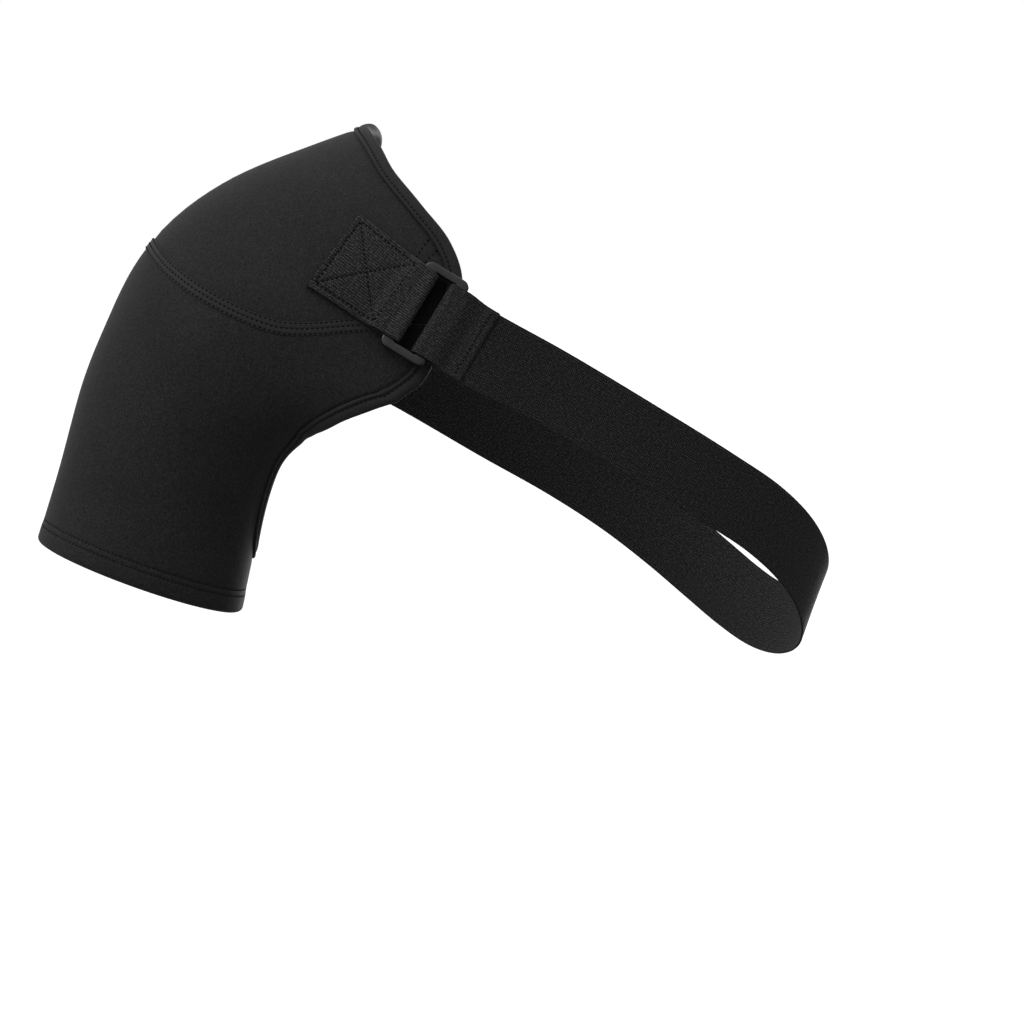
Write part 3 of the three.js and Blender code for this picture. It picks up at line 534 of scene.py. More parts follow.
def sewn(name, rows, surface):
    """Rows of stitches as one mesh. A row is its line's points, the cloth's normals, a pitch and a length."""
    points, faces = [], []
    for line, normals, pitch, length in rows:
        reach = lengths(line)
        count = max(1, round(reach[-1] / pitch))
        middles = (np.arange(count) + 0.5) * reach[-1] / count
        spots = [at_reach(middles + shift, reach, line) for shift in (-length / 2, 0, length / 2)]
        ahead = unit(spots[2] - spots[0])
        away = at_reach(middles, reach, normals)
        away = unit(away - dot(away, ahead)[:, None] * ahead)
        axes = np.stack([ahead * length, np.cross(away, ahead) * STITCH_WIDTH, away * STITCH_WIDTH], 1)
        for middle, stitch_axes in zip(spots[1], axes):
            first = len(points) * len(STITCH_POINTS)
            faces += [tuple(corner + first for corner in face) for face in STITCH_FACES]
            points.append(middle + STITCH_POINTS @ stitch_axes)
    piece = new_piece(name, np.vstack(points), faces)
    tidy(piece, 80)
    finished(piece, surface, "tape")


def polyester_thread(name, dark, light):
    """Twisted black thread with a slight gloss."""
    made, tree, shader = new_material(name)
    twist = grain(tree, 1800, 1)
    colour = ramp(tree, twist, (0.35, grey(dark)), (0.7, grey(light)))
    feed(tree, shader, {"Base Color": colour, "Roughness": 0.7, "Specular IOR Level": 0.08})
    bumped(tree, shader, twist, 0.4, 0.1 * MM)
    return made


THREAD = polyester_thread("polyester_thread", 0.001, 0.003)
HEM_THREAD = polyester_thread("hem_thread", 0.005, 0.01)

ring = np.linspace(0, 1, 721)
hem_rows = []
for up in HEM_STITCHES:
    place = on_pad(ring, beside(hem, ring, np.full_like(ring, up), HEM_LIMIT))
    hem_rows.append((over(place, hem_faces(up)[0] + HEM_STITCH_RISE), facing(place), *HEM_STITCH))
sewn("hem_stitches", hem_rows, HEM_THREAD)

# Yoke
# A cap of the same faced foam over the top of the shoulder. Its lower edge meets the sleeve edge to edge,
# and its upper edge is bound.

yoke = pad_panel("yoke_foam", 1)
finished(yoke, NEOPRENE, "neoprene", "yoke_panel")

# Buckle
# A plain rectangular loop, moulded in one from black plastic, with rounded bars and end rails.
# It lies between the tab, which holds one bar, and the strap, which turns round the other.

BUCKLE_LENGTH = 30.5 * MM
BUCKLE_BAR = 8 * MM
BUCKLE_RAIL = 5 * MM
BUCKLE_SLOT = 51 * MM
BUCKLE_THICKNESS = 4.4 * MM
BUCKLE_CORNER = 5 * MM
BUCKLE_SLOT_CORNER = 1.4 * MM
BUCKLE_EDGE = 1.0 * MM
BUCKLE_AT = (71.6, 7.01)
BAR_OFFSET = (BUCKLE_LENGTH - BUCKLE_BAR) / 2
BAR_GAP = 0.3 * MM
SEAT_GAP = 0.4 * MM
TAB_THICKNESS = 1.6 * MM
STRAP_THICKNESS = 1.8 * MM
STRAP_SLOPE = math.radians(35)
OVER_BINDING = 1.8 * MM
SHADE_ALONG = (1, 9 * MM, 4 * MM)  # strength, end and fade of the shade under the buckle
SHADE_ACROSS = (1, BUCKLE_SLOT / 2, 3 * MM)
SHADE_DEPTH = 15 * MM


def flat_run(normal):
    """The strap's direction at the buckle, on a surface with that normal."""
    fall = np.array([math.cos(STRAP_SLOPE), 0, -math.sin(STRAP_SLOPE)])
    return unit(fall - dot(fall, normal) * normal)


def on_lobe(start, distance):
    """The place on a lobe at a distance from its start, along the strap."""
    normal = facing(start)
    return under(shoulder(start) + distance * flat_run(normal), normal, start)


tab_height = SEAT_GAP + TAB_THICKNESS + BAR_GAP + BUCKLE_THICKNESS / 2
strap_height = OVER_BINDING + SEAT_GAP + STRAP_THICKNESS + BAR_GAP + BUCKLE_THICKNESS / 2
tab_bar = over(on_lobe(BUCKLE_AT, -BAR_OFFSET), FOAM + tab_height)
strap_bar = over(on_lobe(BUCKLE_AT, BAR_OFFSET), FOAM + strap_height)
BUCKLE_MIDDLE = (tab_bar + strap_bar) / 2
BUCKLE_ALONG = unit(strap_bar - tab_bar)
lobe_normal = facing(BUCKLE_AT)
BUCKLE_AWAY = unit(lobe_normal - dot(lobe_normal, BUCKLE_ALONG) * BUCKLE_ALONG)
BUCKLE_ACROSS = np.cross(BUCKLE_AWAY, BUCKLE_ALONG)


def at_buckle(run, side, height):
    """A point in the buckle's own axes: along the strap, across it and away from the body."""
    run, side, height = (np.asarray(part, float)[..., None] for part in (run, side, height))
    return BUCKLE_MIDDLE + run * BUCKLE_ALONG + side * BUCKLE_ACROSS + height * BUCKLE_AWAY


def cover(piece):
    """Marks the part of a piece that lies under the buckle, where its cloth gets painted shade: it is painted
    black.
    """
    points = np.zeros(3 * len(piece.data.vertices))
    piece.data.vertices.foreach_get("co", points)
    from_middle = points.reshape(-1, 3) - BUCKLE_MIDDLE
    run, side = np.abs(dot(from_middle, BUCKLE_ALONG)), np.abs(dot(from_middle, BUCKLE_ACROSS))
    inside = step_down(run, *SHADE_ALONG) * step_down(side, *SHADE_ACROSS)
    near = np.abs(dot(from_middle, BUCKLE_AWAY)) < SHADE_DEPTH
    mark = piece.data.attributes.new("painted_shade", "FLOAT", "POINT")
    mark.data.foreach_set("value", inside * near)


# Painted shade: the panels' cloth under the buckle's slot is marked to be painted black.
cover(sleeve)
cover(yoke)


def rounded_plate(length, width, corner):
    """A flat rectangle with round corners."""
    bpy.ops.mesh.primitive_plane_add(size=1)
    edit_all()
    bpy.ops.transform.resize(value=(length, width, 1))
    bpy.ops.mesh.bevel(affect="VERTICES", offset=corner, segments=10)
    bpy.ops.object.mode_set(mode="OBJECT")
    return bpy.context.object


def moulded_plastic():
    """Black plastic from a mould that is finely blasted: a soft gloss, duller in patches from handling."""
    made, tree, shader = new_material("moulded_plastic")
    wear = grain(tree, 140, 3)
    colour = ramp(tree, wear, (0.3, (0.005, 0.005, 0.0052)), (0.75, (0.008, 0.008, 0.0083)))
    rough = ramp(tree, wear, (0.3, grey(0.24)), (0.7, grey(0.34)))
    feed(tree, shader, {"Base Color": colour, "Roughness": rough})
    bumped(tree, shader, grain(tree, 2600, 1), 0.12, 0.05 * MM)
    return made


outline = rounded_plate(BUCKLE_LENGTH, BUCKLE_SLOT + 2 * BUCKLE_RAIL, BUCKLE_CORNER)
slot = rounded_plate(BUCKLE_LENGTH - 2 * BUCKLE_BAR, BUCKLE_SLOT, BUCKLE_SLOT_CORNER)
outline.select_set(True)
bpy.context.view_layer.objects.active = outline
bpy.ops.object.join()
buckle = bpy.context.object
buckle.name = buckle.data.name = "loop_buckle"
edit_all()
bpy.ops.mesh.delete(type="ONLY_FACE")
bpy.ops.mesh.select_all(action="SELECT")
bpy.ops.mesh.bridge_edge_loops()
bpy.ops.object.mode_set(mode="OBJECT")
wall = buckle.modifiers.new("wall", "SOLIDIFY")
wall.thickness = BUCKLE_THICKNESS
wall.offset = 0
rounding = buckle.modifiers.new("rounding", "BEVEL")
rounding.width = BUCKLE_EDGE
rounding.segments = 5
rounding.limit_method = "ANGLE"
rounding.angle_limit = math.radians(50)
bpy.ops.object.modifier_apply(modifier="wall")
bpy.ops.object.modifier_apply(modifier="rounding")
axes = Matrix([BUCKLE_ALONG, BUCKLE_ACROSS, BUCKLE_AWAY]).transposed()
buckle.matrix_world = Matrix.Translation(BUCKLE_MIDDLE) @ axes.to_4x4()
bpy.ops.object.transform_apply(location=True, rotation=True, scale=True)
tidy(buckle, 40)
finished(buckle, moulded_plastic(), "buckle", "buckle")

# Tab
# Doubled polyester webbing with the buckle's bar in its fold, sewn to the yoke with a crossed box.
# Both layers show at its edge, and it is ribbed where it bends round the bar.

TAB_WIDTH = 49.5 * MM
TAB_END_WIDTH = 57 * MM
TAB_SEWN = 59 * MM
TAB_TURN = math.radians(5)
TAB_BEND = 12 * MM
FOLD_INSET = 1.2 * MM
FOLD_DROP = 14 * MM
TAB_FOLD = BUCKLE_THICKNESS / 2 + BAR_GAP + TAB_THICKNESS / 2
TAB_CENTRE = -(BAR_OFFSET - BUCKLE_BAR / 2 + FOLD_INSET)
BOX_MARGIN = 3.6 * MM
BOX_NEAR = 14 * MM
BOX_FAR = TAB_SEWN - BOX_MARGIN
BOX_SIDE = TAB_WIDTH / 2 - BOX_MARGIN
BOX_DENT = (0.5 * MM, 0.8 * MM)
BOX_STITCH = (3.0 * MM, 2.0 * MM)
BOX_STITCH_SINK = 0.3 * MM
OUT_OF_REACH = 1.0
RIBS, RIB_PITCH, RIB_HEIGHT = 4, 1.1 * MM, 0.16 * MM
THIN_EDGE = 0.3 * MM  # where the webbing's half thickness is less, it has no ribs and no dents
PLAIN_PAST_FOLD = 6 * MM
BAND_BORDER = 3 * MM
BAND_WARP, BAND_WEFT = 1.5 * MM, 1.4 * MM

# Two short rows of stitches on the yoke beside the tab, in millimetres along the strap and across it.
SIDE_ROWS = np.array([[(-22.7, 28), (-21.5, 44)], [(-16.5, 28), (-13.8, 41.3)]])
SIDE_STITCH = (3.2 * MM, 2.3 * MM)


def round_edges(width, thickness, cells):
    """Places across a band and half its thickness there: flat, with round edges."""
    turn = np.linspace(0, math.pi / 2, 5)
    edge = (width - thickness) / 2 + thickness / 2 * np.sin(turn)
    thin = thickness / 2 * np.cos(turn)
    flat = np.linspace(-1, 1, cells + 1)[1:-1] * (width - thickness) / 2
    return np.r_[-edge[::-1], flat, edge], np.r_[thin[::-1], np.full(len(flat), thickness / 2), thin]


def centred_steps(points):
    """Direction of a line at each of its points."""
    return unit(np.gradient(points, axis=0))


def half_tab_width(run):
    """Half of the tab's width at a place along it: the slot holds it narrower than its sewn end."""
    return between(TAB_WIDTH, TAB_END_WIDTH, np.clip((TAB_CENTRE - run) / TAB_SEWN, 0, 1)) / 2


def turned_tab(run, side):
    """A place on the tab, which is sewn on at a slight turn to the buckle."""
    reach = np.maximum(TAB_CENTRE - run, 0)
    turn = TAB_TURN * ease(reach / TAB_BEND)
    cos, sin = np.cos(turn), np.sin(turn)
    return run + reach * (1 - cos) + side * sin, side * cos + reach * sin


def on_tab(run, side, height):
    """Points of the tab from a flat side view: flat at the bar, and further along it follows the shoulder."""
    flat = at_buckle(*turned_tab(run, side * 2 * half_tab_width(run) / TAB_WIDTH), height)
    place = under(flat, BUCKLE_AWAY, BUCKLE_AT)
    seated = over(place, FOAM + SEAT_GAP + TAB_THICKNESS / 2 + height + TAB_FOLD)
    share = ease((TAB_CENTRE - run - BUCKLE_BAR) / FOLD_DROP)[..., None]
    return between(flat, seated, share), facing(place)


def upper_layer(reach):
    """Height of the tab's upper layer at a distance from the fold."""
    return between(TAB_FOLD, TAB_THICKNESS + BAR_GAP - TAB_FOLD, ease((reach - BUCKLE_BAR) / FOLD_DROP))


reach = np.linspace(0, TAB_SEWN, 109)[1:]
turn = np.linspace(-math.pi / 2, math.pi / 2, 19)
lower = np.linspace(TAB_SEWN, 0, 61)[:-1]
run = TAB_CENTRE + np.r_[-lower, TAB_FOLD * np.cos(turn), -reach]
height = np.r_[np.full(len(lower), -TAB_FOLD), TAB_FOLD * np.sin(turn), upper_layer(reach)]
side_view = np.stack([run, height], -1)
tangent = centred_steps(side_view)
square = np.stack([-tangent[:, 1], tangent[:, 0]], -1)
tab_side, tab_half = round_edges(TAB_WIDTH, TAB_THICKNESS, 84)
from_fold = np.r_[np.zeros(len(lower) + len(turn)), reach]
on_top = from_fold > 0


def from_box(reach, side):
    """Distance from the crossed box of stitches."""
    inside = (reach > BOX_NEAR) & (reach < BOX_FAR)
    within = np.abs(side) < BOX_SIDE
    length, width = BOX_FAR - BOX_NEAR, 2 * BOX_SIDE
    lines = [(within, reach - BOX_NEAR), (within, reach - BOX_FAR), (inside, np.abs(side) - BOX_SIDE)]
    for sign in (1, -1):
        slant = (reach - BOX_NEAR) * width - (sign * side + BOX_SIDE) * length
        lines.append((inside & within, slant / math.hypot(length, width)))
    return np.minimum.reduce([np.where(there, np.abs(distance), OUT_OF_REACH) for there, distance in lines])


drawn_in = dip(from_box(from_fold[:, None], tab_side), *BOX_DENT) * on_top[:, None]
ribs = RIB_HEIGHT * np.sin(np.clip((BOX_NEAR - from_fold) / RIB_PITCH, 0, RIBS) * 2 * math.pi) * on_top
outer_half = tab_half - drawn_in + (ribs[:, None] * tab_half / tab_half.max())
outer_half = np.where(tab_half > THIN_EDGE, outer_half, tab_half)
faces = []
for offset in (-outer_half, tab_half):
    moved = [line[:, None] + square[:, n : n + 1] * offset for n, line in enumerate((run, height))]
    faces.append(on_tab(moved[0], tab_side, moved[1])[0])
along = lengths(side_view)
tab = closed_sheet("webbing_tab", *faces, uv=(along, tab_side))


def woven_band(name, light, painted_sheen_fleck, width, bends=()):
    """Woven webbing: weft crosses the warp, which is alone at the border and in bends: starts and ends. The
    lightest yarn colour is painted sheen on the raised yarns, and the colour is darkened along the band's
    edges as painted shade.
    """
    made, tree, shader = new_material(name)
    cloth = tree.nodes.new("ShaderNodeUVMap")
    cloth.uv_map = "Cloth"
    spot = cloth.outputs["UV"]
    parts = tree.nodes.new("ShaderNodeSeparateXYZ")
    feed(tree, parts, {"Vector": spot})
    along, across = parts.outputs["X"], parts.outputs["Y"]

    def calc(operation, *values):
        return worked_out(tree, operation, *values)

    def wave(place, pitch):
        swing = calc("SINE", calc("MULTIPLY", place, 2 * math.pi / pitch))
        return calc("MULTIPLY_ADD", swing, 0.5, 0.5)

    from_border = calc("SUBTRACT", calc("ABSOLUTE", across), width / 2 - BAND_BORDER)
    plain = calc("MAXIMUM", calc("MULTIPLY", from_border, 500), 0.0)
    for start, end in bends:
        from_middle = calc("ABSOLUTE", calc("SUBTRACT", along, (start + end) / 2))
        inside = calc("SUBTRACT", (end - start) / 2, from_middle)
        plain = calc("MAXIMUM", plain, calc("MULTIPLY", inside, 900))
    plain = calc("MINIMUM", plain, 1.0)
    along = calc("MULTIPLY_ADD", grain(tree, 420, 2, spot=spot), 1.6 * MM, along)
    across = calc("MULTIPLY_ADD", grain(tree, 330, 2, spot=spot), 1.2 * MM, across)
    picks = calc("MAXIMUM", wave(along, BAND_WEFT), calc("MULTIPLY", plain, 0.75))
    crossings = calc("MULTIPLY", wave(across, BAND_WARP), picks)
    drawn_out = tree.nodes.new("ShaderNodeMapping")
    feed(tree, drawn_out, {"Vector": spot, "Scale": (0.6, 1.0, 1.0)})
    uneven = grain(tree, 900, 2, 0.2, drawn_out.outputs["Vector"])
    weave = calc("MULTIPLY_ADD", crossings, 0.38, calc("MULTIPLY", uneven, 0.9))
    # The lightest yarn colour is painted sheen on the raised yarns.
    yarns_and_painted_sheen = [(0.37, grey(0.0025, 1.04)), (0.57, grey(light, 1.04)), (0.81, grey(painted_sheen_fleck, 1.03))]
    # Painted shade: the colour is darkened along the band's edges.
    edge = ramp(tree, calc("MULTIPLY", from_border, 1 / BAND_BORDER), (0.6, grey(1)), (0.85, grey(0.35)))
    colour = mixed(tree, "MULTIPLY", 1.0, ramp(tree, weave, *yarns_and_painted_sheen), edge)
    feed(tree, shader, {"Base Color": colour, "Roughness": 0.8})
    feed(tree, shader, {"Specular IOR Level": 0.15, "Sheen Weight": 0.02})
    bumped(tree, shader, weave, 0.7, 0.4 * MM)
    return made


fold_start = along[len(lower)]
fold_end = along[len(lower) + len(turn)] + PLAIN_PAST_FOLD
# 0.05 is the painted sheen on the tab's raised yarns.
webbing = woven_band("tab_webbing", 0.011, 0.05, TAB_WIDTH, [(fold_start, fold_end)])
finished(tab, webbing, "webbing", "strap_tab")


def crossed_box(near, far, half_width, count):
    """The lines of a crossed box of stitches: for each, places along the band and across it."""
    corners = [(near, -1), (far, -1), (far, 1), (near, 1)]
    share = np.linspace(0, 1, count)
    for a, b in ((0, 1), (1, 2), (2, 3), (3, 0), (0, 2), (1, 3)):
        along, across = (between(*ends, share) for ends in zip(corners[a], corners[b]))
        yield along, across * half_width


box_rows = []
for reach, side in crossed_box(BOX_NEAR, BOX_FAR, BOX_SIDE, 60):
    height = upper_layer(reach) + TAB_THICKNESS / 2 - BOX_STITCH_SINK
    box_rows.append((*on_tab(TAB_CENTRE - reach, side, height), *BOX_STITCH))
for start, end in SIDE_ROWS:
    spot = between(start, end, np.linspace(0, 1, 20)[:, None]) * MM
    place = under(at_buckle(*spot.T, 0), BUCKLE_AWAY, BUCKLE_AT)
    box_rows.append((over(place, FOAM), facing(place), *SIDE_STITCH))
sewn("tab_stitches", box_rows, THREAD)

# Seam tape
# A flat knitted tape laid over the joint of yoke and sleeve, held by three rows of stitches.
# It runs from the edge of the tab over the outside of the shoulder to the strap's end at the back.

SEAM_WIDTH = 8 * MM
SEAM_TAPE = 1.2 * MM
SEAM_STITCHES = (-3.1 * MM, 0, 3.1 * MM)
SEAM_STITCH = (3.1 * MM, 2.1 * MM)
SEAM_STITCH_SINK = 0.18 * MM
SEAM_STITCH_MARGIN = 1 * MM
SEAM_GROOVE = (0.3 * MM, 0.45 * MM)
SEAM_CLIMB = 0.03 * SOLID_COLUMNS
SEAM_END = 1.45  # of the tape before it is trimmed, in SEAM_TURNs
TAPE_STEP = 1.2 * MM
STRAP_WIDTH = 49 * MM
BACK_AT = (-71.6, 7.01)  # a place on the strap's sewn end


def on_seam(reach):
    """The place on the seam at a reach round the pad. Past the last column it turns up to the lobe's end."""
    turn = np.clip(reach, -SEAM_TURN, SEAM_TURN)
    return on_pad(turn, seam(turn) + SEAM_CLIMB * np.abs(reach - turn))


rough = on_seam(np.linspace(-SEAM_END, SEAM_END, 1200) * SEAM_TURN)
reach = lengths(shoulder(rough))
tape_steps = np.arange(0, reach[-1], TAPE_STEP)
tape_place = [np.convolve(np.interp(tape_steps, reach, part), bell(19), "valid") for part in rough]
tape_normal = facing(tape_place)
tape_middle = over(tape_place, FOAM)
tape_across = unit(np.cross(centred_steps(tape_middle), tape_normal))
tape_side, tape_half = round_edges(SEAM_WIDTH, SEAM_TAPE, 24)


def on_tape(side, height):
    """Points of the tape at a distance from its middle line, over the panels' outside."""
    target = tape_middle[:, None] + side[None, :, None] * tape_across[:, None]
    guess = [part[:, None] for part in tape_place]
    place = under(target, tape_normal[:, None], guess)
    return over(place, FOAM + height), facing(place)


tape_level = SEAM_TAPE / 2 - TAPE_SINK
groove = sum(dip(tape_side - row, *SEAM_GROOVE) for row in SEAM_STITCHES)
tape_outer = on_tape(tape_side, tape_level + tape_half - groove)[0]
tape_inner = on_tape(tape_side, tape_level - tape_half)[0]
seam_tape = closed_sheet("seam_band", tape_outer, tape_inner)

# Planes along the edge of the tab in front, and of the strap's end behind: a point, the way out, and the
# half of the tape that it cuts.
edge_run = TAB_CENTRE - np.array([TAB_SEWN, TAB_BEND])
edge_far, edge_near = at_buckle(*turned_tab(edge_run, -half_tab_width(edge_run)), 0)
tab_out = unit(np.cross(BUCKLE_AWAY, edge_near - edge_far))
tab_edge = edge_near - SEAT_GAP * tab_out
back_normal = facing(BACK_AT)
strap_out = np.cross(flat_run(back_normal), back_normal)
strap_edge = over(BACK_AT, FOAM) - (STRAP_WIDTH / 2 + SEAT_GAP) * strap_out
TAPE_CUTS = [(tab_edge, tab_out, -1), (strap_edge, strap_out, 1)]


def trim(piece, point, direction, half):
    """Cuts off what lies past a plane, in the front half of a piece, -1, or in the back half, 1."""
    pick(piece)
    bpy.ops.object.mode_set(mode="EDIT")
    bpy.ops.mesh.select_all(action="DESELECT")
    bpy.ops.object.mode_set(mode="OBJECT")
    for face in piece.data.polygons:
        face.select = face.center.y * half > 0
    bpy.ops.object.mode_set(mode="EDIT")
    bpy.ops.mesh.bisect(plane_co=point, plane_no=direction, use_fill=True, clear_outer=True)
    bpy.ops.object.mode_set(mode="OBJECT")


for cut in TAPE_CUTS:
    trim(seam_tape, *cut)
tidy(seam_tape)


def stretch_tape(name, dark, light):
    """Smooth knitted tape, a little glossier than the panels, with fine loops."""
    made, tree, shader = new_material(name)
    loops = grain(tree, 1100, 2, 0.6)
    cloth = ramp(tree, loops, (0.35, grey(dark, 1.03)), (0.7, grey(light, 1.03)))
    # Painted shade: black where the tape is marked under the buckle's slot.
    colour = clouded_with_painted_shade(tree, cloth, grain(tree, 40, 2), 0.9)
    feed(tree, shader, {"Base Color": colour, "Roughness": 0.75, "Specular IOR Level": 0.15})
    feed(tree, shader, {"Sheen Weight": 0.03, "Sheen Roughness": 0.4})
    bumped(tree, shader, loops, 0.25, 0.15 * MM)
    return made


finished(seam_tape, stretch_tape("seam_tape_cloth", 0.013, 0.022), "tape", "seam_tape")

seam_rows = []
for row in SEAM_STITCHES:
    line, normals = on_tape(np.array([row]), tape_level + SEAM_TAPE / 2 - SEAM_STITCH_SINK)
    line, normals = line[:, 0], normals[:, 0]
    shown = np.ones(len(line), bool)
    for point, direction, half in TAPE_CUTS:
        shown &= (line[:, 1] * half < 0) | (dot(line - point, direction) < -SEAM_STITCH_MARGIN)
    seam_rows.append((line[shown], normals[shown], *SEAM_STITCH))
sewn("seam_stitches", seam_rows, THREAD)

# Edge binding
# A stretch tape folded over the cut edge of the panels all the way round, and sewn through both faces.
# A narrow lip stands beside the stitches, and the tape is stretched smooth over the edge.

# Section of the tape in millimetres: distance from its inner line towards the edge, and height over the
# wearer's side of the panels. It goes over the outside, round the edge, back, and along its own inside.
BINDING_SECTION = MM * np.array(
    [
        (0.3, 3.35), (-0.1, 3.6), (-0.15, 4.3), (0.1, 4.95), (0.5, 5.3), (1.1, 5.4), (1.6, 5.2), (2.0, 4.8),
        (2.35, 4.5), (2.7, 4.45), (3.05, 4.55), (3.5, 4.95), (4.3, 5.35), (5.3, 5.6), (6.5, 5.65),
        (7.6, 5.5), (8.6, 5.05), (9.4, 4.2), (9.8, 3.1), (9.9, 2.0), (9.8, 0.9), (9.4, -0.2),
        (8.6, -1.05), (7.6, -1.5), (6.5, -1.65), (5.3, -1.6), (4.3, -1.35), (3.5, -0.95), (2.7, -0.45),
        (2.0, -0.8), (1.1, -1.4), (0.5, -1.3), (0.1, -0.95), (-0.1, -0.2), (0.3, 0.35), (2.7, 0.35),
        (5.3, 0.3), (7.6, 0.3), (8.3, 1.0), (8.5, 2.0), (8.3, 3.0), (7.6, 3.4), (5.3, 3.4), (2.7, 3.35),
    ]
)
BINDING_STITCHES = 2.7 * MM
BINDING_STITCH_HEIGHT = 4.5 * MM + 0.12 * MM


def on_binding(columns, reach, height):
    """Points over the bound edge. reach is the distance from the binding's inner line, square to it."""
    numbers = np.arange(COLUMNS + 1)
    foot, rim = ([np.interp(columns, numbers, part)[:, None] for part in pair] for pair in (FOOT, RIM))
    share = np.minimum(reach / BINDING_WIDTH, 1)
    place = [between(*ends, share) for ends in zip(foot, rim)]
    past = np.maximum(reach - BINDING_WIDTH, 0)
    out = at_reach(columns, numbers, BEYOND)
    return over(place, height) + past[..., None] * out[:, None], facing(place)


section = np.vstack([BINDING_SECTION, BINDING_SECTION[:1]])
round_it = np.arange(COLUMNS, dtype=float)
swept = on_binding(round_it, section[None, :, 0], section[None, :, 1])[0]
spot = np.arange(COLUMNS * len(section)).reshape(COLUMNS, -1)
after = np.roll(spot, -1, axis=0)
squares = np.stack([spot[:, :-1], after[:, :-1], after[:, 1:], spot[:, 1:]], -1).reshape(-1, 4)
binding = new_piece("edge_tape", swept.reshape(-1, 3), squares.tolist())
tidy(binding, 60)
# Painted shade: the binding under the buckle's slot is marked to be painted black.
cover(binding)
finished(binding, stretch_tape("binding_cloth", 0.011, 0.019), "tape", "edge_binding")

round_it = np.linspace(0, COLUMNS, 1601)
line, normals = on_binding(round_it, np.array([[BINDING_STITCHES]]), BINDING_STITCH_HEIGHT)
sewn("binding_stitches", [(line[:, 0], normals[:, 0], *BOX_STITCH)], HEM_THREAD)

# Chest strap
# Wide woven elastic. Its free end lies on top and turns round the buckle's bar, the strap goes round the
# chest under the other arm, and its other end is sewn down on the back lobe with a crossed box.

STRAP_END_WIDTH = 50 * MM
STRAP_NARROWS = (30 * MM, 110 * MM)
STRAP_LAP = 31 * MM
STRAP_STRAIGHT = 30 * MM
STRAP_FALL = 0.555
STRAP_SEWN = 56 * MM
STRAP_FOLD = BUCKLE_THICKNESS / 2 + BAR_GAP + STRAP_THICKNESS / 2
STRAP_CENTRE = -TAB_CENTRE
DIP_TURN, DIP_SPAN, DIP_DEPTH = -5, 70, 40 * MM
TWIST_FROM, TWIST_SPAN = 40, 62
CHEST_TURNS = np.arange(96, -97, -12)
CHEST_X, CHEST_Y, CHEST_Z = 207 * MM, -4 * MM, -255 * MM
CHEST_HALF_WIDTH, CHEST_HALF_DEPTH, CHEST_TAPER, CHEST_FULLNESS = 214 * MM, 113 * MM, 0.45, 2.2
BACK_RIM = 22 * MM
BACK_OVERLAP = 14 * MM
STRAP_STEP = 2.4 * MM
END_RIDGE = (0.35 * MM, 2.2 * MM, 0.8 * MM)
END_ROUND, END_THINNEST = 0.9 * MM, 0.05
END_STITCHES = 4.2 * MM
END_STITCH = (2.8 * MM, 1.8 * MM)
END_MARGIN = 2.5 * MM
STRAP_BOX = (46 * MM, 4 * MM)  # from the sewn end
STRAP_BOX_MARGIN = 4 * MM
STRAP_STITCH_RISE = 0.02 * MM


def round_chest(turn):
    """Where the strap goes round the chest, and its normal: 90 is the front's middle, -90 the back's."""
    start = at_buckle(BAR_OFFSET, 0, 0)
    cos, sin = math.cos(math.radians(turn)), math.sin(math.radians(turn))
    power = 2 / CHEST_FULLNESS
    wide, deep = (math.copysign(abs(part) ** power, part) for part in (cos, sin))
    level = start[2] + STRAP_FALL * start[0] - DIP_DEPTH * (1 - ease(abs(turn - DIP_TURN) / DIP_SPAN))
    reach = CHEST_HALF_WIDTH + CHEST_TAPER * (level - CHEST_Z)
    x = (CHEST_X + reach * wide) / (1 + CHEST_TAPER * STRAP_FALL * wide)
    z = level - STRAP_FALL * x
    half_width = CHEST_HALF_WIDTH + CHEST_TAPER * (z - CHEST_Z)
    out, back = (math.copysign(abs(part) ** (2 - power), part) for part in (cos, sin))
    normal = np.array([out / half_width, -back / CHEST_HALF_DEPTH, -CHEST_TAPER * cos * cos / half_width])
    lobe = BUCKLE_AWAY if turn > 0 else facing(BACK_AT)
    normal = unit(between(unit(normal), lobe, ease((abs(turn) - TWIST_FROM) / TWIST_SPAN)))
    return np.array([x, CHEST_Y - CHEST_HALF_DEPTH * deep, z]), normal, 0


def on_back(distance, height):
    """The strap's sewn end, at a distance from BACK_AT towards the far side."""
    place = on_lobe(BACK_AT, distance)
    return over(place, FOAM + height), facing(place), 1


seated = SEAT_GAP + STRAP_THICKNESS / 2
inside = BACK_RIM - BINDING_WIDTH - BACK_OVERLAP
knots = [
    (at_buckle(STRAP_CENTRE + share * STRAP_STRAIGHT, 0, -STRAP_FOLD), BUCKLE_AWAY, 0)
    for share in (0, 0.5, 1)
]
knots += [round_chest(turn) for turn in CHEST_TURNS]
knots += [on_back(place, seated + OVER_BINDING) for place in (BACK_RIM + BACK_OVERLAP, inside)]
knots += [on_back(inside - (STRAP_SEWN - BACK_OVERLAP) * share, seated) for share in (1 / 3, 2 / 3, 1)]
knot_points, knot_normals, knot_sewn = (np.array(part, float) for part in zip(*knots))


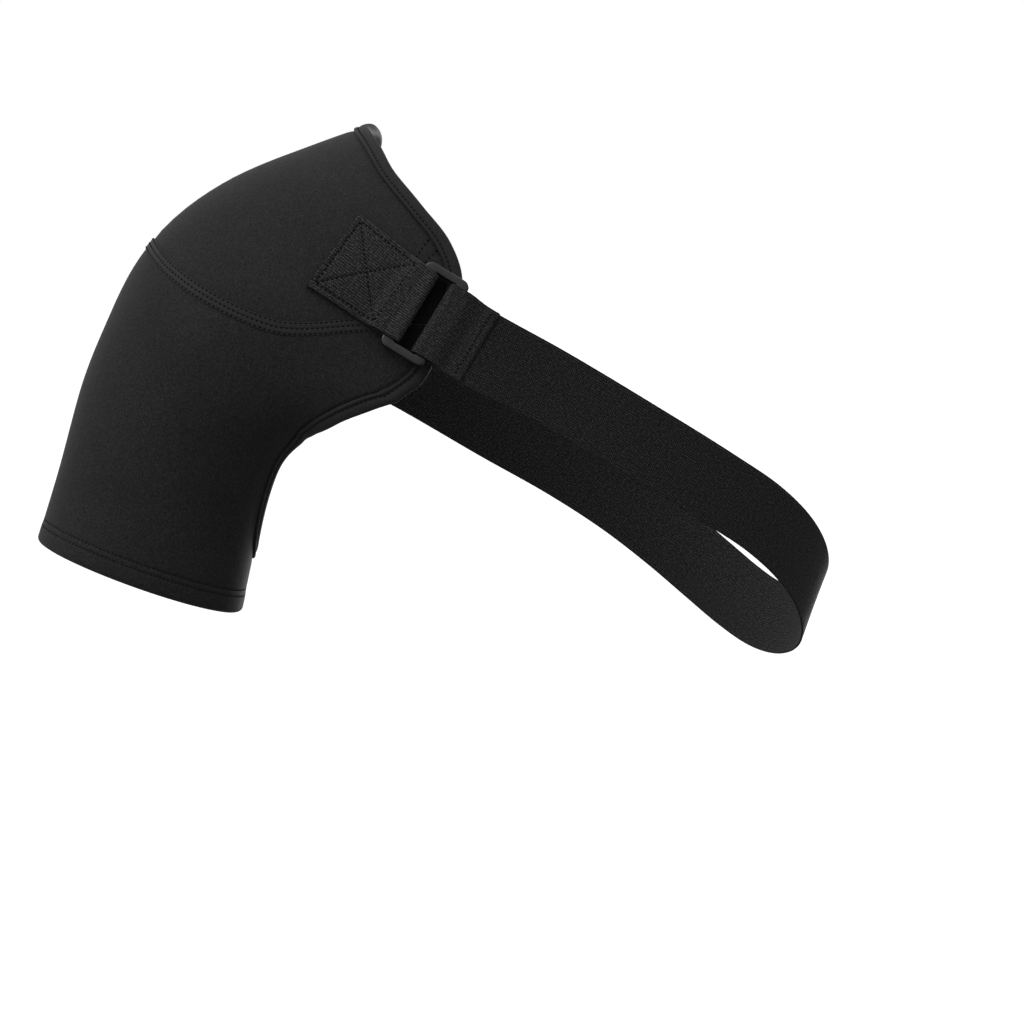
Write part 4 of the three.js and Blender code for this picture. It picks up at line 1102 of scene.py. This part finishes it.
def spline(points, t):
    """A smooth curve through points at uneven distances. t counts points."""
    ends = np.vstack([2 * points[0] - points[1], points, 2 * points[-1] - points[-2]])
    spans = np.sqrt(np.linalg.norm(np.diff(ends, axis=0), axis=1))[:, None]
    k = np.clip(np.floor(t).astype(int), 0, len(points) - 2)
    u = (t - k)[:, None]
    p0, p1, p2, p3 = (ends[k + n] for n in range(4))
    d0, d1, d2 = (spans[k + n] for n in range(3))
    leave = d1 * ((p1 - p0) / d0 - (p2 - p0) / (d0 + d1)) + p2 - p1
    arrive = p2 - p1 + d1 * ((p3 - p2) / d2 - (p3 - p1) / (d1 + d2))
    bend = 3 * (p2 - p1) - 2 * leave - arrive
    return p1 + u * (leave + u * (bend + u * (2 * (p1 - p2) + leave + arrive)))


fine = np.linspace(0, len(knots) - 1, 6001)
reach = lengths(spline(knot_points, fine))
STRAP_MAIN = reach[-1]
t = np.interp(np.linspace(0, STRAP_MAIN, round(STRAP_MAIN / STRAP_STEP) + 1), reach, fine)
main = spline(knot_points, t)
main_normal = unit(through(knot_normals, t))
main_sewn = np.interp(t, np.arange(len(knots)), knot_sewn)
main_reach = lengths(main)

lap = np.linspace(STRAP_LAP, 0, 31)[:-1]
lap_normal = unit(at_reach(lap, main_reach, main_normal))
apart = between(2 * STRAP_FOLD, STRAP_THICKNESS + BAR_GAP, ease((lap - BUCKLE_BAR) / FOLD_DROP))
lap_middle = at_reach(lap, main_reach, main) + apart[:, None] * lap_normal
turn = np.linspace(0, math.pi, 21)[:-1]
fold = at_buckle(STRAP_CENTRE - STRAP_FOLD * np.sin(turn), 0, STRAP_FOLD * np.cos(turn))
fold_normal = np.sin(turn)[:, None] * BUCKLE_ALONG - np.cos(turn)[:, None] * BUCKLE_AWAY
strap_middle = np.vstack([lap_middle, fold, main])
strap_normal = np.vstack([-lap_normal, fold_normal, main_normal])
before = np.zeros(len(lap) + len(turn))
strap_sewn = np.r_[before, main_sewn]
strap_ahead = centred_steps(strap_middle)
strap_across = unit(np.cross(strap_ahead, strap_normal))
slant = dot(BUCKLE_ACROSS, strap_ahead) / dot(BUCKLE_ACROSS, strap_across)
strap_across[: len(lap)] += (slant[: len(lap)] * lap / STRAP_LAP)[:, None] * strap_ahead[: len(lap)]
strap_reach = lengths(strap_middle)
strap_side, strap_half = round_edges(STRAP_WIDTH, STRAP_THICKNESS, 30)
narrowed = ease((main_reach - STRAP_NARROWS[0]) / (STRAP_NARROWS[1] - STRAP_NARROWS[0]))
strap_wide = between(STRAP_END_WIDTH, STRAP_WIDTH, np.r_[before, narrowed]) / STRAP_WIDTH


def over_back(point, direction):
    """Height of a point over the back of the pad, along a direction."""
    return dot(point - shoulder(under(point, direction, BACK_AT)), direction)


def on_strap(steps, side, height):
    """Points over the strap's middle layer, where it is sewn bent to the pad across its width."""
    middle, normal, across = (part[steps][:, None] for part in (strap_middle, strap_normal, strap_across))
    flat = middle + (strap_wide[steps][:, None] * side)[..., None] * across
    rows = strap_sewn[steps] > 0
    if rows.any():
        lift = over_back(middle[rows], normal[rows]) - over_back(flat[rows], normal[rows])
        flat[rows] += (strap_sewn[steps][rows][:, None] * lift)[..., None] * normal[rows]
    return flat + np.asarray(height)[..., None] * normal


ridge = step_down(strap_reach, *END_RIDGE)[:, None]
round_end = np.maximum(rounded(strap_reach, END_ROUND), END_THINNEST)[:, None]
steps = np.arange(len(strap_middle))
half = (strap_half + ridge * strap_half / strap_half.max()) * round_end
faces = [on_strap(steps, strap_side, height) for height in (half, -half)]
strap = closed_sheet("elastic_strap", *faces, uv=(strap_reach, strap_side))
# 0.042 is the painted sheen on the strap's raised yarns.
elastic = woven_band("strap_elastic", 0.0095, 0.042, STRAP_WIDTH)
finished(strap, elastic, "elastic", "chest_strap")

stitch_height = STRAP_THICKNESS / 2 + STRAP_STITCH_RISE
across = np.linspace(-1, 1, 40) * (STRAP_WIDTH / 2 - END_MARGIN)
step = int(np.searchsorted(strap_reach, END_STITCHES))
line = on_strap(np.array([step]), across, -stitch_height)[0]
strap_rows = [(line, np.broadcast_to(-strap_normal[step], line.shape), *END_STITCH)]
box_ends = [strap_reach[-1] - distance for distance in STRAP_BOX]
for reach, side in crossed_box(*box_ends, STRAP_WIDTH / 2 - STRAP_BOX_MARGIN, 50):
    steps = np.searchsorted(strap_reach, reach).clip(0, len(strap_reach) - 1)
    line = on_strap(steps, side[:, None], stitch_height)[:, 0]
    strap_rows.append((line, strap_normal[steps], *BOX_STITCH))
sewn("strap_stitches", strap_rows, THREAD)

# Studio
# A wide pale floor well below the pad, which is shown as it is worn, with soft light from above and in front.

FLOOR = -0.62
bpy.ops.mesh.primitive_circle_add(vertices=96, radius=40, fill_type="NGON", location=(0, 0, FLOOR))
floor = bpy.context.object
floor.name = "floor"
bpy.ops.object.transform_apply(location=True)
paint, tree, shader = new_material("pale_floor")
dust = ramp(tree, grain(tree, 3, 2), (0.3, grey(0.9)), (0.7, grey(0.93)))
feed(tree, shader, {"Base Color": dust, "Roughness": 0.9})
floor.data.materials.append(paint)
floor.visible_diffuse = floor.visible_glossy = False

# Pale walls: behind the pad, above it and at its outer side they light it, and the other walls are in shade.
WALL_LIGHT = Vector((-0.45, 0.6, 0.66))
world = bpy.data.worlds.new("studio")
bpy.context.scene.world = world
world.use_nodes = True
tree = world.node_tree
facing_wall = tree.nodes.new("ShaderNodeVectorMath")
facing_wall.operation = "DOT_PRODUCT"
looked_along = tree.nodes.new("ShaderNodeTexCoord").outputs["Generated"]
feed(tree, facing_wall, {0: looked_along, 1: WALL_LIGHT.normalized()})
height = worked_out(tree, "MULTIPLY_ADD", facing_wall.outputs["Value"], 0.5, 0.5)
wall = ramp(tree, height, (0.25, grey(0.27)), (0.55, grey(1)))
seen = tree.nodes.new("ShaderNodeLightPath").outputs["Is Camera Ray"]
shown = mixed(tree, "MIX", seen, wall, (1, 1, 1, 1))
feed(tree, tree.nodes["Background"], {"Color": shown, "Strength": 1.0})


def aimed(direction):
    """The turn of a light or a camera that looks in a direction."""
    return Vector(direction).to_track_quat("-Z", "Y").to_euler()


def light(kind, name, place, aim, power):
    """A light at a place, aimed at a point."""
    bpy.ops.object.light_add(type=kind, location=place)
    made = bpy.context.object
    made.name = name
    made.data.energy = power
    made.rotation_euler = aimed(Vector(aim) - Vector(place))
    return made.data


light("SUN", "ceiling_light", (0, 0, 0), (0.45, 0.1, -1), 1.2).angle = math.radians(60)
light("AREA", "key_light", (-1.2, -1.4, 1.5), (0.05, 0, -0.15), 8).size = 0.5
light("AREA", "inside_light", (1.25, 1.15, -0.25), (0, 0, -0.1), 22).size = 0.8
bpy.context.scene.view_settings.view_transform = "Standard"

CAMERA_TARGET = Vector((0.168, -0.070, -0.201))
CAMERA_DISTANCE = 2.0
CAMERA_LENS = 111.6
azimuth, elevation = math.radians(-25), math.radians(5)
back = Vector(
    (math.sin(azimuth) * math.cos(elevation), -math.cos(azimuth) * math.cos(elevation), math.sin(elevation))
)
bpy.ops.object.camera_add(location=CAMERA_TARGET + CAMERA_DISTANCE * back)
camera = bpy.context.object
camera.rotation_euler = aimed(-back)
camera.data.lens = CAMERA_LENS
bpy.context.scene.camera = camera
